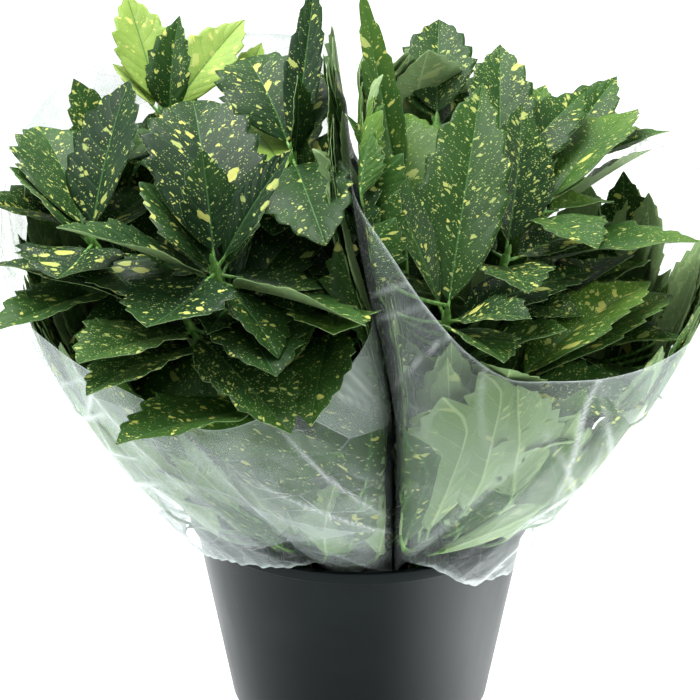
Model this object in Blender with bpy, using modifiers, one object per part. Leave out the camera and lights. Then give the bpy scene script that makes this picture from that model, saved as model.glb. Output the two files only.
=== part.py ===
# A black flower bucket of water that holds two film-sleeved bunches of cut spotted laurel.
# Metres, +Z up. The origin is the centre of the bucket's flat bottom, and the front faces -Y.
import bpy
import bmesh
import numpy as np
from mathutils.bvhtree import BVHTree

MODEL_NAME = "potted_japanese_laurel"
RING_STEPS = 48          # sides of the bucket and water, and columns of a sleeve
TIE_STEPS = 24
SEAT_GAP = 0.0003        # clearance between pieces that touch
MERGE = 0.00001          # merge distance of a turned profile's poles

# Bucket, outside sizes
BUCKET_HEIGHT = 0.265
RIM_RADIUS = 0.1327      # wall at the rim, under the lip
STEP_HEIGHT = 0.103      # small inward step in the wall
STEP_RADIUS = 0.1035
STEP_IN = 0.003
FOOT_RADIUS = 0.084
WALL = 0.0025
LIP_OUT = 0.0025
LIP_HEIGHT = 0.009
WATER_LEVEL = 0.070

# Stems: a bundle of each bunch is tied at the waist, and spreads below and above it
STEM_FOOT_RADIUS = 0.0035
STEM_TOP_RADIUS = 0.0020
STEM_PITCH = 0.0080      # from stem to stem round the tie
TIE_HEIGHT = 0.200
TIE_WIDTH = 0.008
TIE_THICKNESS = 0.0012
FOOT_SPREAD = 1.8        # how much wider the bundle is at its feet than at the tie
BUD_LENGTH = 0.010

# Leaves
BLADE_THICKNESS = 0.0008
GUARD = 0.0013           # each blade's own thickness and the gap that it keeps on both sides
PETIOLE_LENGTH = 0.012
PETIOLE_HALF_WIDTH = 0.0013
LEAF_STEP = 0.0022       # each listed leaf stands this far below the one before it
FOLD_DEG = 14.0          # how far each half of a blade rises from the midrib
MARGIN_WAVE = 0.0012
TEETH = (0.46, 0.61, 0.76)
SHORT_LEAF = 0.124       # a shorter leaf has only the first and last tooth of each margin
TOOTH_OUT = 1.07
TOOTH_IN = 0.90
NOTCH_SHARE = 0.055      # from a tooth to the notch above it
MID_SHARES = (0.32, 0.68)

# Film sleeves
FILM_THICKNESS = 0.0006
FILM_ROWS = 4
TUCK_IN = 0.0145         # how much nearer the axis a hem runs where it is tucked into the mouth
TUCK_SPREAD = 7.5        # degrees over which it passes from the outside of the lip to the inside
SEAM_GAP = 0.0045        # from the plane between the sleeves to each film
SEAM_LOW_X = 0.024
SEAM_HIGH_X = -0.010
SEAM_BEND = (0.36, 0.56) # heights between which the seam leans over
TOP_DEPTH = 0.150
TOP_HALF_WIDTH = 0.155

# Each sleeve's centre at its top, its bulge, the bearing where its hem crosses the lip, the hem's
# height above the rim's top by degrees past that bearing, and the top edge's height by bearing.
SLEEVES = {
    "left": {
        "centre_x": -0.115, "seam_side": 1, "bulge": 0.020,
        "tuck": 112.5, "hem": ((-45, -0.017), (0, 0.002), (7.5, 0.002), (15, -0.006)),
        "edge": ((-90, 0.386), (-67, 0.397), (-46, 0.418), (-30, 0.457), (-10, 0.520), (20, 0.575),
                 (55, 0.604), (90, 0.606), (130, 0.590), (160, 0.545), (180, 0.503), (197, 0.464),
                 (212, 0.446), (227, 0.434), (243, 0.419), (258, 0.403)),
    },
    "right": {
        "centre_x": 0.128, "seam_side": -1, "bulge": 0.018,
        "tuck": 67.5, "hem": ((-35, -0.027), (-12, -0.018), (0, 0.002), (7.5, 0.002), (15, -0.006)),
        "edge": ((-89, 0.421), (-64, 0.424), (-45, 0.437), (-25, 0.462), (0, 0.492), (40, 0.524),
                 (80, 0.536), (110, 0.552), (140, 0.580), (165, 0.586), (190, 0.562), (210, 0.532),
                 (225, 0.503), (237, 0.470), (250, 0.438), (261, 0.422)),
    },
}

# Where each bunch is tied, where its feet stand, and its stems: one in the middle and a ring round it
BUNCHES = {
    "left": {"tie_x": -0.055, "foot_x": -0.036, "middle": "b", "ring": "edciagshf", "turn": 25},
    "right": {"tie_x": 0.055, "foot_x": 0.036, "middle": "t", "ring": "onrlmjkqp", "turn": -5},
}

# Each leafy stem: where its top stands, and its leaves. A leaf is
# drop below the top (mm), heading and rise (deg), length and width (mm), roll and bend (deg), taper.
# Heading 0 is +X and 90 is away from the front; taper is 0 for a round leaf and 1 for a long point.
SHOOTS = {
    "a": {"top": (-0.202, -0.030, 0.490), "leaves": (
        (0, 116, 26, 112, 84, 10, 25, 0.1), (0, 89, 34, 120, 66, -20, 15, 0.1),
        (0, 63, 11, 85, 50, 0, 10, 0.2), (0, -104, -4, 60, 86, 0, -15, 0.0),
        (0, -60, 0, 75, 64, 0, -20, 0.1))},
    "b": {"top": (-0.106, -0.070, 0.481), "leaves": (
        (0, 100, 35, 150, 90, 0, 45, -0.2), (0, 106, 64, 76, 44, 0, 12, 0.5),
        (0, -12, 58, 97, 38, 45, 12, 0.3), (0, -115, -6, 90, 85, 0, -20, -0.1),
        (0, -10, -5, 65, 50, 0, -20, 0.0), (0, 132, 5, 88, 46, -20, -35, 0.2),
        (26, -70, -8, 100, 70, 0, 10, 0.1), (30, -165, 8, 95, 66, -20, 10, 0.1))},
    "c": {"top": (-0.156, 0.100, 0.552), "leaves": (
        (0, 117, 33, 98, 52, 0, 5, 0.3), (0, 124, 12, 58, 34, 0, 15, 0.4),
        (0, 61, 20, 95, 50, 25, 15, 0.3), (0, -60, 0, 80, 55, 0, 20, 0.2))},
    "d": {"top": (-0.099, 0.120, 0.549), "leaves": (
        (0, 91, 43, 88, 30, 70, 20, 0.5), (0, 78, 33, 50, 38, 0, 20, 0.5),
        (0, -66, -9, 90, 56, 0, 30, 0.3))},
    "e": {"top": (-0.052, 0.040, 0.536), "leaves": (
        (0, 105, 21, 100, 80, -10, 40, 0.0), (0, 67, 7, 90, 66, 0, 30, 0.0),
        (0, -69, -14, 120, 72, 15, 20, 0.1), (0, 79, 35, 150, 30, 0, 0, 0.8),
        (0, -110, -8, 80, 66, 0, 20, 0.0))},
    "f": {"top": (-0.020, -0.060, 0.446), "leaves": (
        (0, 117, 9, 95, 66, -20, 20, 0.0), (0, 80, 6, 70, 44, 0, 20, 0.1),
        (0, 114, -3, 60, 46, 0, 0, 0.1), (0, -80, 0, 75, 66, 0, 10, 0.0))},
    "g": {"top": (-0.126, -0.090, 0.447), "leaves": (
        (0, 150, 9, 150, 56, -12, 20, 0.3), (0, 132, 18, 125, 76, 0, 20, 0.2),
        (10, 148, -8, 125, 70, -25, 15, 0.2), (20, -123, 0, 115, 60, 0, 20, 0.2),
        (0, 47, -5, 95, 66, 0, 10, 0.1), (0, -69, -3, 110, 70, 0, 10, 0.1),
        (0, -130, 0, 100, 76, 0, 15, 0.1))},
    "h": {"top": (-0.073, -0.126, 0.401), "leaves": (
        (0, 48, 2, 85, 70, 15, 10, -0.1), (0, 71, 21, 115, 52, 0, 0, 0.2),
        (0, 150, -6, 100, 64, -35, 10, 0.0), (20, 5, 20, 90, 60, 35, 0, 0.0),
        (18, 178, 14, 95, 62, -35, 10, 0.1), (30, -5, 6, 85, 58, 40, 10, 0.2),
        (34, 172, 4, 95, 60, -40, 10, 0.2))},
    "i": {"top": (-0.190, 0.065, 0.475), "leaves": (
        (0, 150, 48, 105, 58, 0, 20, 0.3), (0, 60, 50, 95, 52, 0, 15, 0.4),
        (0, 195, 30, 100, 60, 0, 20, 0.2), (0, 105, 25, 110, 64, 0, 25, 0.2))},
    "j": {"top": (0.031, -0.020, 0.507), "leaves": (
        (0, 92, 29, 95, 66, 0, 20, 0.3), (0, 105, 45, 175, 28, 60, 20, 0.9),
        (0, 98, 47, 170, 28, -20, 20, 0.9), (0, 54, 8, 95, 54, 20, 10, 0.4))},
    "k": {"top": (0.062, -0.080, 0.445), "leaves": (
        (0, 89, 34, 185, 70, 0, 5, 0.3), (0, 117, 31, 155, 46, 5, 20, 0.3),
        (0, -51, 16, 80, 44, 15, 20, 0.4), (0, 35, 5, 135, 46, 15, 20, 0.4),
        (0, -90, 0, 75, 60, 0, 20, 0.2), (34, 115, -3, 82, 56, -30, 10, 0.3),
        (40, -35, 32, 100, 60, 10, 10, 0.3))},
    "l": {"top": (0.107, 0.040, 0.516), "leaves": (
        (0, 87, 39, 120, 56, 0, 20, 0.4), (0, 102, 34, 110, 40, -20, 20, 0.5),
        (0, 56, 30, 115, 50, 20, 20, 0.4), (0, 70, 36, 135, 48, 10, 20, 0.5),
        (0, 118, 6, 88, 50, -20, 10, 0.4))},
    "m": {"top": (0.060, 0.090, 0.546), "leaves": (
        (0, 87, 39, 95, 60, 0, 20, 0.4), (0, 104, 26, 70, 50, 0, 20, 0.4),
        (0, 70, 27, 70, 30, 70, 20, 0.5), (0, 125, 1, 60, 40, 0, 20, 0.4))},
    "n": {"top": (0.139, 0.020, 0.499), "leaves": (
        (0, 52, 20, 135, 70, -10, 20, 0.4), (0, 66, 15, 70, 40, 0, 20, 0.5),
        (0, 40, -6, 70, 42, 0, 20, 0.5), (0, -70, 0, 85, 55, 0, 10, 0.4))},
    "o": {"top": (0.150, -0.020, 0.435), "leaves": (
        (0, 58, 26, 125, 62, -10, 20, 0.4), (0, 46, 10, 105, 56, -10, 20, 0.4),
        (18, 38, 6, 105, 56, 0, 20, 0.4), (0, 87, 22, 105, 70, 0, 20, 0.3),
        (0, 112, 13, 100, 50, 0, 20, 0.4))},
    "p": {"top": (0.111, -0.100, 0.403), "leaves": (
        (10, 37, 12, 150, 72, 0, 20, 0.1), (0, 45, 12, 130, 70, 0, 20, 0.1),
        (0, 60, 10, 100, 52, 0, 20, 0.2), (0, 125, 13, 95, 66, 0, 20, 0.1),
        (0, -25, -5, 85, 60, 20, 10, 0.2), (26, -80, 38, 85, 56, 0, 10, 0.2),
        (30, -20, 30, 95, 60, 20, 10, 0.2))},
    "q": {"top": (0.065, -0.120, 0.310), "leaves": (
        (0, -108, 63, 112, 44, 0, 12, 0.6), (0, -84, 70, 122, 56, 0, 15, 0.4),
        (0, -38, 60, 108, 58, -10, 15, 0.3), (4, -45, 12, 80, 56, 20, 10, 0.2),
        (6, 170, 30, 75, 48, -20, 10, 0.4), (10, -150, 52, 90, 52, 0, 10, 0.4))},
    "r": {"top": (0.150, 0.100, 0.500), "leaves": (
        (0, 95, 50, 105, 54, 0, 20, 0.5), (0, 40, 45, 105, 54, 0, 20, 0.5),
        (0, 5, 25, 95, 56, 0, 20, 0.4), (0, 130, 28, 100, 56, 0, 20, 0.4))},
    "s": {"top": (-0.052, -0.106, 0.288), "leaves": (
        (0, -98, 66, 92, 64, 0, 15, 0.3), (0, 168, 36, 105, 60, 0, 20, 0.4),
        (0, -36, 48, 86, 54, 0, 15, 0.3), (6, -140, 56, 105, 58, 0, 10, 0.4),
        (0, 100, 20, 90, 52, 0, 20, 0.3), (2, -150, 16, 78, 54, -15, 10, 0.3),
        (10, -170, 62, 100, 54, 0, 10, 0.3))},
    "t": {"top": (0.109, -0.020, 0.472), "leaves": (
        (0, 80, 48, 118, 56, 30, 20, 0.4), (0, 106, 12, 95, 50, 0, 20, 0.4),
        (0, 54, 8, 95, 50, 0, 20, 0.4), (0, -100, 5, 85, 55, 0, 10, 0.4),
        (34, -50, 0, 100, 62, 0, 10, 0.2), (38, -125, -3, 95, 60, 0, 10, 0.2))},
}

# Leaves lower on each stem, tier by tier: drop (mm), turns from outward (deg), rise (deg), how much
# steeper it stands towards the front or back, where the sleeve is steep, and length and width (mm).
# Above the sleeves' low front edges, leaves that head for the front droop over the edge instead.
TIERS = (
    (16, (70, -70), 44, 0, 108, 64),
    (100, (0, 50, -50), 54, 20, 104, 62),
    (46, (0, 48, -48, 110, -110), 34, 12, 112, 68),
    (74, (25, -25, 80, -80), 46, 20, 108, 66),
    (28, (150, -150, 20, -20), 50, 0, 100, 60),
)
LOWEST_LEAF = 0.262      # no leaf starts below this height
MOST_LEAVES = 146
HIGH_TOP = 0.495         # stems taller than this have no rule-made leaves
HIGH_DROP = 0.040        # within this distance of their tops
DROOP_ABOVE = 0.385      # leaves that start above this height droop towards the front
DROOP_RISE = -8.0        # rise of one that heads straight for the front


def unit(vector):
    return vector / np.linalg.norm(vector)


def smooth_step(value):
    value = np.clip(value, 0.0, 1.0)
    return value * value * (3.0 - 2.0 * value)


def clear_scene():
    for item in list(bpy.data.objects):
        bpy.data.objects.remove(item)


def new_collection(name, hidden=False):
    collection = bpy.data.collections.new(name)
    bpy.context.scene.collection.children.link(collection)
    collection.hide_render = hidden
    return collection


def plain_material(name, colour, roughness, alpha=1.0):
    material = bpy.data.materials.new(name)
    material.use_nodes = True
    shader = material.node_tree.nodes["Principled BSDF"]
    shader.inputs["Base Color"].default_value = (*colour, 1.0)
    shader.inputs["Roughness"].default_value = roughness
    shader.inputs["Metallic"].default_value = 0.0
    shader.inputs["Alpha"].default_value = alpha
    return material


def mesh_object(name, points, faces, collection, material=None, edges=()):
    mesh = bpy.data.meshes.new(name)
    mesh.from_pydata([tuple(p) for p in points], list(edges), [tuple(f) for f in faces])
    item = bpy.data.objects.new(name, mesh)
    if material:
        mesh.materials.append(material)
    collection.objects.link(item)
    return item


def turned(name, profile, collection, material, steps=RING_STEPS, closed=False):
    """A profile of (radius, height) points turned round the Z axis."""
    points = [(radius, 0.0, height) for radius, height in profile]
    last = len(points) if closed else len(points) - 1
    edges = [(k, (k + 1) % len(points)) for k in range(last)]
    item = mesh_object(name, points, (), collection, material, edges)
    screw = item.modifiers.new("Turn", "SCREW")
    screw.steps = steps
    screw.render_steps = steps
    screw.use_merge_vertices = True
    screw.merge_threshold = MERGE
    return item


def tube(name, points, radii, collection, material=None):
    """A six-sided tube along a path, made a mesh with its caps welded on."""
    curve = bpy.data.curves.new(name, "CURVE")
    curve.dimensions = "3D"
    curve.bevel_depth = 1.0
    curve.bevel_resolution = 1
    curve.use_fill_caps = True
    spline = curve.splines.new("POLY")
    spline.points.add(len(points) - 1)
    for target, point, radius in zip(spline.points, points, radii):
        target.co = (*point, 1.0)
        target.radius = radius
    source = bpy.data.objects.new(name + "_path", curve)
    bpy.context.scene.collection.objects.link(source)
    bpy.context.view_layer.update()
    evaluated = source.evaluated_get(bpy.context.evaluated_depsgraph_get())
    mesh = bpy.data.meshes.new_from_object(evaluated)
    work = bmesh.new()
    work.from_mesh(mesh)
    bmesh.ops.remove_doubles(work, verts=work.verts, dist=MERGE)
    bmesh.ops.triangulate(work, faces=work.faces)
    bmesh.ops.recalc_face_normals(work, faces=work.faces)
    work.to_mesh(mesh)
    work.free()
    mesh.name = name
    mesh.materials.clear()
    if material:
        mesh.materials.append(material)
    item = bpy.data.objects.new(name, mesh)
    item.matrix_world = source.matrix_world
    collection.objects.link(item)
    bpy.data.objects.remove(source)
    return item


def wall_radius(height):
    """Outer radius of the bucket's wall at a height, straight above and below the step."""
    if height >= STEP_HEIGHT:
        share = (height - STEP_HEIGHT) / (BUCKET_HEIGHT - STEP_HEIGHT)
        return STEP_RADIUS + share * (RIM_RADIUS - STEP_RADIUS)
    share = height / (STEP_HEIGHT - STEP_IN)
    return FOOT_RADIUS + share * (STEP_RADIUS - STEP_IN - FOOT_RADIUS)


def make_bucket(collection):
    below_step = STEP_HEIGHT - STEP_IN
    lip_foot = BUCKET_HEIGHT - LIP_HEIGHT
    lip_radius = RIM_RADIUS + LIP_OUT
    profile = (
        (0.0, WALL),
        (wall_radius(WALL) - WALL, WALL),
        (wall_radius(below_step - MERGE) - WALL, below_step),
        (STEP_RADIUS - WALL, STEP_HEIGHT),
        (RIM_RADIUS - WALL, BUCKET_HEIGHT),
        (lip_radius, BUCKET_HEIGHT),
        (lip_radius, lip_foot),
        (wall_radius(lip_foot), lip_foot),
        (STEP_RADIUS, STEP_HEIGHT),
        (STEP_RADIUS - STEP_IN, below_step),
        (FOOT_RADIUS, 0.0),
        (0.0, 0.0),
    )
    return turned("bucket", profile, collection, plain_material("bucket", (0.012, 0.014, 0.015), 0.35))


def make_water(collection, cutters):
    """The water fills the bucket to its level, with a plain hole for each stem."""
    floor = WALL + SEAT_GAP
    inset = WALL + 2 * SEAT_GAP
    bpy.ops.mesh.primitive_cone_add(
        vertices=RING_STEPS,
        radius1=wall_radius(floor) - inset,
        radius2=wall_radius(WATER_LEVEL) - inset,
        depth=WATER_LEVEL - floor,
        location=(0.0, 0.0, (WATER_LEVEL + floor) / 2),
    )
    water = bpy.context.object
    water.name = "water"
    water.users_collection[0].objects.unlink(water)
    collection.objects.link(water)
    water.data.materials.append(plain_material("water", (0.55, 0.62, 0.58), 0.05, 0.4))
    cut = water.modifiers.new("Stem holes", "BOOLEAN")
    cut.operation = "DIFFERENCE"
    cut.operand_type = "COLLECTION"
    cut.collection = cutters
    cut.solver = "EXACT"
    return water


def ring_radius(bunch):
    """Radius of the ring of stems at the tie, one pitch from stem to stem."""
    return STEM_PITCH / (2.0 * np.sin(np.pi / len(bunch["ring"])))


def stem_slot(bunch, letter):
    """A stem's place in its bundle, as an offset from the bundle's centre at the tie."""
    if letter == bunch["middle"]:
        return np.zeros(2)
    place = bunch["ring"].index(letter)
    angle = np.radians(bunch["turn"] + place * 360.0 / len(bunch["ring"]))
    return ring_radius(bunch) * np.array([np.cos(angle), np.sin(angle)])


def stem_path(bunch, letter):
    """From the foot straight to the tie, upright through it, then in one bend to the top and bud."""
    slot = stem_slot(bunch, letter)
    foot = np.array([bunch["foot_x"] + FOOT_SPREAD * slot[0], FOOT_SPREAD * slot[1], WALL + SEAT_GAP])
    foot[2] += STEM_FOOT_RADIUS * np.hypot(*(foot[:2] - slot - [bunch["tie_x"], 0.0])) / TIE_HEIGHT
    waist = np.array([bunch["tie_x"] + slot[0], slot[1], TIE_HEIGHT])
    half_tie = np.array([0.0, 0.0, 0.75 * TIE_WIDTH])
    top = np.array(SHOOTS[letter]["top"])
    start = waist + half_tie
    pull = np.append(0.62 * start[:2] + 0.38 * top[:2], start[2] + 0.6 * (top[2] - start[2]))
    shares = np.array([0.0, 0.35, 0.7, 1.0])[:, None]
    bend = (1 - shares) ** 2 * start + 2 * shares * (1 - shares) * pull + shares ** 2 * top
    bud = top + BUD_LENGTH * unit(top - pull)
    return np.vstack([foot, waist - half_tie, bend, bud])


def stem_radii(path):
    """Thick at the foot, thinner at the top, and a point at the bud."""
    heights = path[:, 2]
    share = (heights - heights[0]) / (heights[-2] - heights[0])
    radii = STEM_FOOT_RADIUS + share * (STEM_TOP_RADIUS - STEM_FOOT_RADIUS)
    low = heights < TIE_HEIGHT + TIE_WIDTH
    radii[low] = STEM_FOOT_RADIUS
    radii[-1] = 0.0006
    return radii


def point_below_top(path, drop):
    """The point on a stem's axis this far down its path from its top."""
    upward = path[-2::-1]
    for high, low in zip(upward, upward[1:]):
        length = np.linalg.norm(high - low)
        if drop <= length:
            return high + (low - high) * drop / length
        drop -= length
    return upward[-1]


def seam_x(height):
    """Where the plane between the sleeves stands at a height."""
    low, high = SEAM_BEND
    return SEAM_LOW_X + (SEAM_HIGH_X - SEAM_LOW_X) * smooth_step((height - low) / (high - low))


def edge_height(edge, bearings):
    """Height of a sleeve's top edge: a smooth curve through its listed bearings and round again."""
    angles = np.array([angle for angle, height in edge], float)
    angles = np.concatenate([angles - 360, angles, angles + 360])
    heights = np.tile([height for angle, height in edge], 3)
    slopes = np.gradient(heights, angles)
    place = np.searchsorted(angles, bearings, side="right") - 1
    step = angles[place + 1] - angles[place]
    t = (bearings - angles[place]) / step
    rise = (heights[place + 1] - heights[place]) * smooth_step(t)
    lean = t * (1 - t) ** 2 * slopes[place] - t * t * (1 - t) * slopes[place + 1]
    return heights[place] + rise + step * lean


def sleeve_sheet(sleeve, columns, rows):
    """The film's inner face: from a D round half the rim to a wide D at the top, bulged between.

    The hem hangs outside the lip, and is tucked into the mouth next to the other sleeve.
    """
    side = sleeve["seam_side"]
    bearings = -180.0 + 360.0 * np.arange(columns) / columns
    angle = np.radians(bearings)[:, None]
    share = np.linspace(0.0, 1.0, rows + 1)[None, :]
    past = side * (sleeve["tuck"] - np.abs(bearings))[:, None]
    hem_radius = RIM_RADIUS + LIP_OUT + SEAT_GAP - TUCK_IN * np.clip(past / TUCK_SPREAD, 0.0, 1.0)
    hem = BUCKET_HEIGHT + np.interp(past, *np.array(sleeve["hem"]).T)
    top = edge_height(sleeve["edge"], bearings)[:, None]
    height = hem + (top - hem) * share
    swell = sleeve["bulge"] * 4.0 * share * (1.0 - share)
    across = hem_radius * np.cos(angle) * (1 - share)
    across = across + (sleeve["centre_x"] + TOP_HALF_WIDTH * np.cos(angle)) * share + swell * np.cos(angle)
    away = hem_radius * np.sin(angle) * (1 - share) + TOP_DEPTH * np.sin(angle) * share
    away = away + 0.6 * swell * np.sin(angle)
    limit = seam_x(height) - side * SEAM_GAP
    room = side * (limit - across)
    soft = 0.004
    across = limit - side * soft * np.logaddexp(0.0, room / soft)
    return np.stack([across, away, height], -1)


def grid_triangles(columns, rows):
    """Triangles of a sheet that closes on itself, column by column."""
    faces = []
    for i in range(columns):
        j = (i + 1) % columns
        for k in range(rows):
            a, b = i * (rows + 1) + k, j * (rows + 1) + k
            faces += [(a, b, b + 1), (a, b + 1, a + 1)]
    return faces


def make_sleeve(name, sleeve, collection):
    points = sleeve_sheet(sleeve, RING_STEPS, FILM_ROWS).reshape(-1, 3)
    faces = grid_triangles(RING_STEPS, FILM_ROWS)
    film = plain_material(name, (0.86, 0.90, 0.90), 0.12, 0.3)
    item = mesh_object(name, points, faces, collection, film)
    wall = item.modifiers.new("Film", "SOLIDIFY")
    wall.thickness = FILM_THICKNESS
    wall.offset = 1.0
    return item


def make_tie(name, bunch, collection):
    inner = ring_radius(bunch) + STEM_FOOT_RADIUS + SEAT_GAP
    outer = inner + TIE_THICKNESS
    half = TIE_WIDTH / 2
    profile = ((inner, half), (outer, half), (outer, -half), (inner, -half))
    rubber = plain_material(name, (0.55, 0.45, 0.25), 0.6)
    item = turned(name, profile, collection, rubber, TIE_STEPS, closed=True)
    item.location = (bunch["tie_x"], 0.0, TIE_HEIGHT)
    return item


def leaf_axes(heading, rise, roll):
    """Unit vectors along a leaf, across it and out of its upper face."""
    turn, lift, lean = np.radians([heading, rise, roll])
    along = np.array([np.cos(lift) * np.cos(turn), np.cos(lift) * np.sin(turn), np.sin(lift)])
    normal = np.array([-np.sin(lift) * np.cos(turn), -np.sin(lift) * np.sin(turn), np.cos(lift)])
    level = np.cross(normal, along)
    across = np.cos(lean) * level + np.sin(lean) * normal
    return along, across, np.cos(lean) * normal - np.sin(lean) * level


def blade_share(place, taper):
    """Half-width over the widest half-width, at a share of the blade's length."""
    rise, fall = 0.85, 0.85 + 0.5 * taper
    widest = rise / (rise + fall)
    return (place / widest) ** rise * ((1 - place) / (1 - widest)) ** fall


def edge_rows(length, taper):
    """Places along one margin: a plain point, then each tooth and the notch above it."""
    rows = [(0.20, 1.0, 0.0)]
    teeth = TEETH if length >= SHORT_LEAF else TEETH[::2]
    for place in teeth:
        rows += [(place, TOOTH_OUT, 1.0), (place + NOTCH_SHARE, TOOTH_IN, -1.0)]
    return [(place, blade_share(place, taper) * scale, wave) for place, scale, wave in rows]


def leaf_sheet(leaf, root):
    """A leaf as one thin sheet: a short stalk from the stem's axis, then a folded, bent, toothed blade."""
    heading, rise, length, width, roll, bend, taper = leaf
    along, across, normal = leaf_axes(heading, rise, roll)
    curl, fold = np.radians([bend, FOLD_DEG])
    base = root + PETIOLE_LENGTH * along

    def spine(place):
        """Centreline point and upper normal: an arc through the blade's two ends."""
        angle = curl * (place - 0.5)
        if abs(curl) < 1e-6:
            return base + length * place * along, normal
        run = (np.sin(angle) + np.sin(curl / 2)) / curl
        lift = (np.cos(angle) - np.cos(curl / 2)) / curl
        return base + length * (run * along + lift * normal), np.sin(angle) * along + np.cos(angle) * normal

    narrow = PETIOLE_HALF_WIDTH * across
    points = [root - narrow, root + narrow, base - narrow, base + narrow]
    middle = []
    for place in MID_SHARES:
        middle.append((len(points), place))
        points.append(spine(place)[0])
    tip = len(points)
    points.append(spine(1.0)[0])
    faces = [(0, 1, 3), (0, 3, 2), (2, 3, middle[0][0])]
    for side in (-1, 1):
        margin = [(2 if side < 0 else 3, 0.0)]
        for place, share, wave in edge_rows(length, taper):
            centre, upper = spine(place)
            reach = share * width / 2
            lift = np.sin(fold) * reach + wave * MARGIN_WAVE
            margin.append((len(points), place))
            points.append(centre + side * np.cos(fold) * reach * across + lift * upper)
        margin.append((tip, 1.0))
        i, j = 0, 0
        while i < len(margin) - 1 or j < len(middle) - 1:
            edge_next = margin[i + 1][1] if i < len(margin) - 1 else 9.0
            middle_next = middle[j + 1][1] if j < len(middle) - 1 else 9.0
            if edge_next - 0.10 <= middle_next and i < len(margin) - 1:
                face = (margin[i][0], middle[j][0], margin[i + 1][0])
                i += 1
            else:
                face = (margin[i][0], middle[j][0], middle[j + 1][0])
                j += 1
            faces.append(face if side < 0 else face[::-1])
    return np.array(points), faces


def open_edges(faces):
    """The edges of a sheet that only one of its triangles has, in that triangle's direction."""
    pairs = {(int(face[k]), int(face[(k + 1) % 3])) for face in faces for k in range(3)}
    return [(a, b) for a, b in sorted(pairs) if (b, a) not in pairs]


def slab(points, faces, thickness):
    """Both faces of a sheet, each moved out by half the thickness, and the walls between them."""
    points = np.asarray(points)
    faces = np.asarray(faces)
    flat = np.cross(points[faces[:, 1]] - points[faces[:, 0]], points[faces[:, 2]] - points[faces[:, 0]])
    normals = np.zeros_like(points)
    for corner in range(3):
        np.add.at(normals, faces[:, corner], flat)
    normals /= np.maximum(np.linalg.norm(normals, axis=1, keepdims=True), 1e-12)
    both = np.vstack([points + normals * thickness / 2, points - normals * thickness / 2])
    count = len(points)
    walls = []
    for a, b in open_edges(faces):
        walls += [(a, b, b + count), (a, b + count, a + count)]
    return both, np.vstack([faces, faces + count, walls])


def tree_of(points, faces):
    return BVHTree.FromPolygons([tuple(p) for p in points], [tuple(int(v) for v in f) for f in faces])


class Obstacles:
    """The surfaces that leaves keep clear of, with their boxes for a quick first test."""

    def __init__(self):
        self.owners, self.kinds, self.trees = [], [], []
        self.lows, self.highs = [], []

    def add(self, owner, kind, points, faces):
        self.owners.append(owner)
        self.kinds.append(kind)
        self.trees.append(tree_of(points, faces))
        self.lows.append(np.min(points, axis=0))
        self.highs.append(np.max(points, axis=0))

    def near(self, letter, points):
        """Places of the surfaces whose box meets a leaf's, without the leaf's own stem."""
        low, high = points.min(0) - GUARD, points.max(0) + GUARD
        meets = np.all((np.array(self.lows) <= high) & (np.array(self.highs) >= low), axis=1)
        return [k for k in np.flatnonzero(meets) if (self.owners[k], self.kinds[k]) != (letter, "stem")]

    def touched(self, letter, whole, blade, places):
        """Whether the blade meets a leaf of its own stem, or the whole leaf meets anything else."""
        for k in places:
            if (blade if self.owners[k] == letter else whole).overlap(self.trees[k]):
                return True
        return False


def is_clear(letter, points, faces, obstacles):
    """Whether a leaf has room: its thin sheet is tested first, because that is quick."""
    blade_faces = faces[2:]
    places = obstacles.near(letter, points)
    if obstacles.touched(letter, tree_of(points, faces), tree_of(points, blade_faces), places):
        return False
    whole = tree_of(*slab(points, faces, GUARD))
    blade = tree_of(*slab(points, blade_faces, GUARD))
    return not obstacles.touched(letter, whole, blade, places)


def small_moves(reaches, leans, sizes):
    """Turns, lifts, leans and sizes to try, the smallest change first."""
    moves = [(0, 0, 0, sizes[0])]
    for size in sizes:
        for lean in leans:
            for reach in reaches:
                for turn, lift in ((0, 1), (0, -1), (1, 0), (-1, 0), (1, 1), (-1, 1), (1, -1), (-1, -1)):
                    moves.append((turn * reach, lift * reach, lean, size))
    return moves


LISTED_MOVES = small_moves((3, 6, 9, 12, 16, 20, 25), (0, 15, -15, 30, -30), (1.0, 0.92, 0.84))
TIER_MOVES = small_moves((6, 12, 18), (0, 20, -20), (1.1, 0.95, 0.8))


def place_leaf(letter, leaf, root, obstacles, moves):
    """The leaf, moved as little as it needs to stand clear, or None where it has no room."""
    heading, rise, length, width, roll, bend, taper = leaf
    for turn, lift, lean, size in moves:
        trial = (heading + turn, rise + lift, length * size, width * size, roll + lean, bend, taper)
        points, faces = leaf_sheet(trial, root)
        if is_clear(letter, points, faces, obstacles):
            return points, faces
    return None


def listed_leaves(letter):
    """A stem's own leaves as (drop, leaf), in metres and degrees."""
    for place, row in enumerate(SHOOTS[letter]["leaves"]):
        drop, heading, rise, length, width, roll, bend, taper = row
        leaf = (heading, rise, length / 1000, width / 1000, roll, bend, taper)
        yield place * LEAF_STEP + drop / 1000, leaf


def tier_leaves(tier, letter, path, centre):
    """One tier of a stem: leaves that reach out from the bunch's centre, held up by the sleeve."""
    drop, turns, rise, steeper, length, width = tier
    root = point_below_top(path, drop / 1000)
    if root[2] < LOWEST_LEAF:
        return
    outward = np.degrees(np.arctan2(path[-2][1] - centre[1], path[-2][0] - centre[0]))
    for turn in turns:
        heading = outward + turn
        depth = np.sin(np.radians(heading))
        lift = rise + steeper * abs(depth)
        if root[2] > DROOP_ABOVE and depth < 0.0:
            lift = rise + np.sqrt(-depth) * (DROOP_RISE - rise)
        yield drop / 1000, (heading, lift, length / 1000, width / 1000, 0, 12, 0.3)


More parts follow.
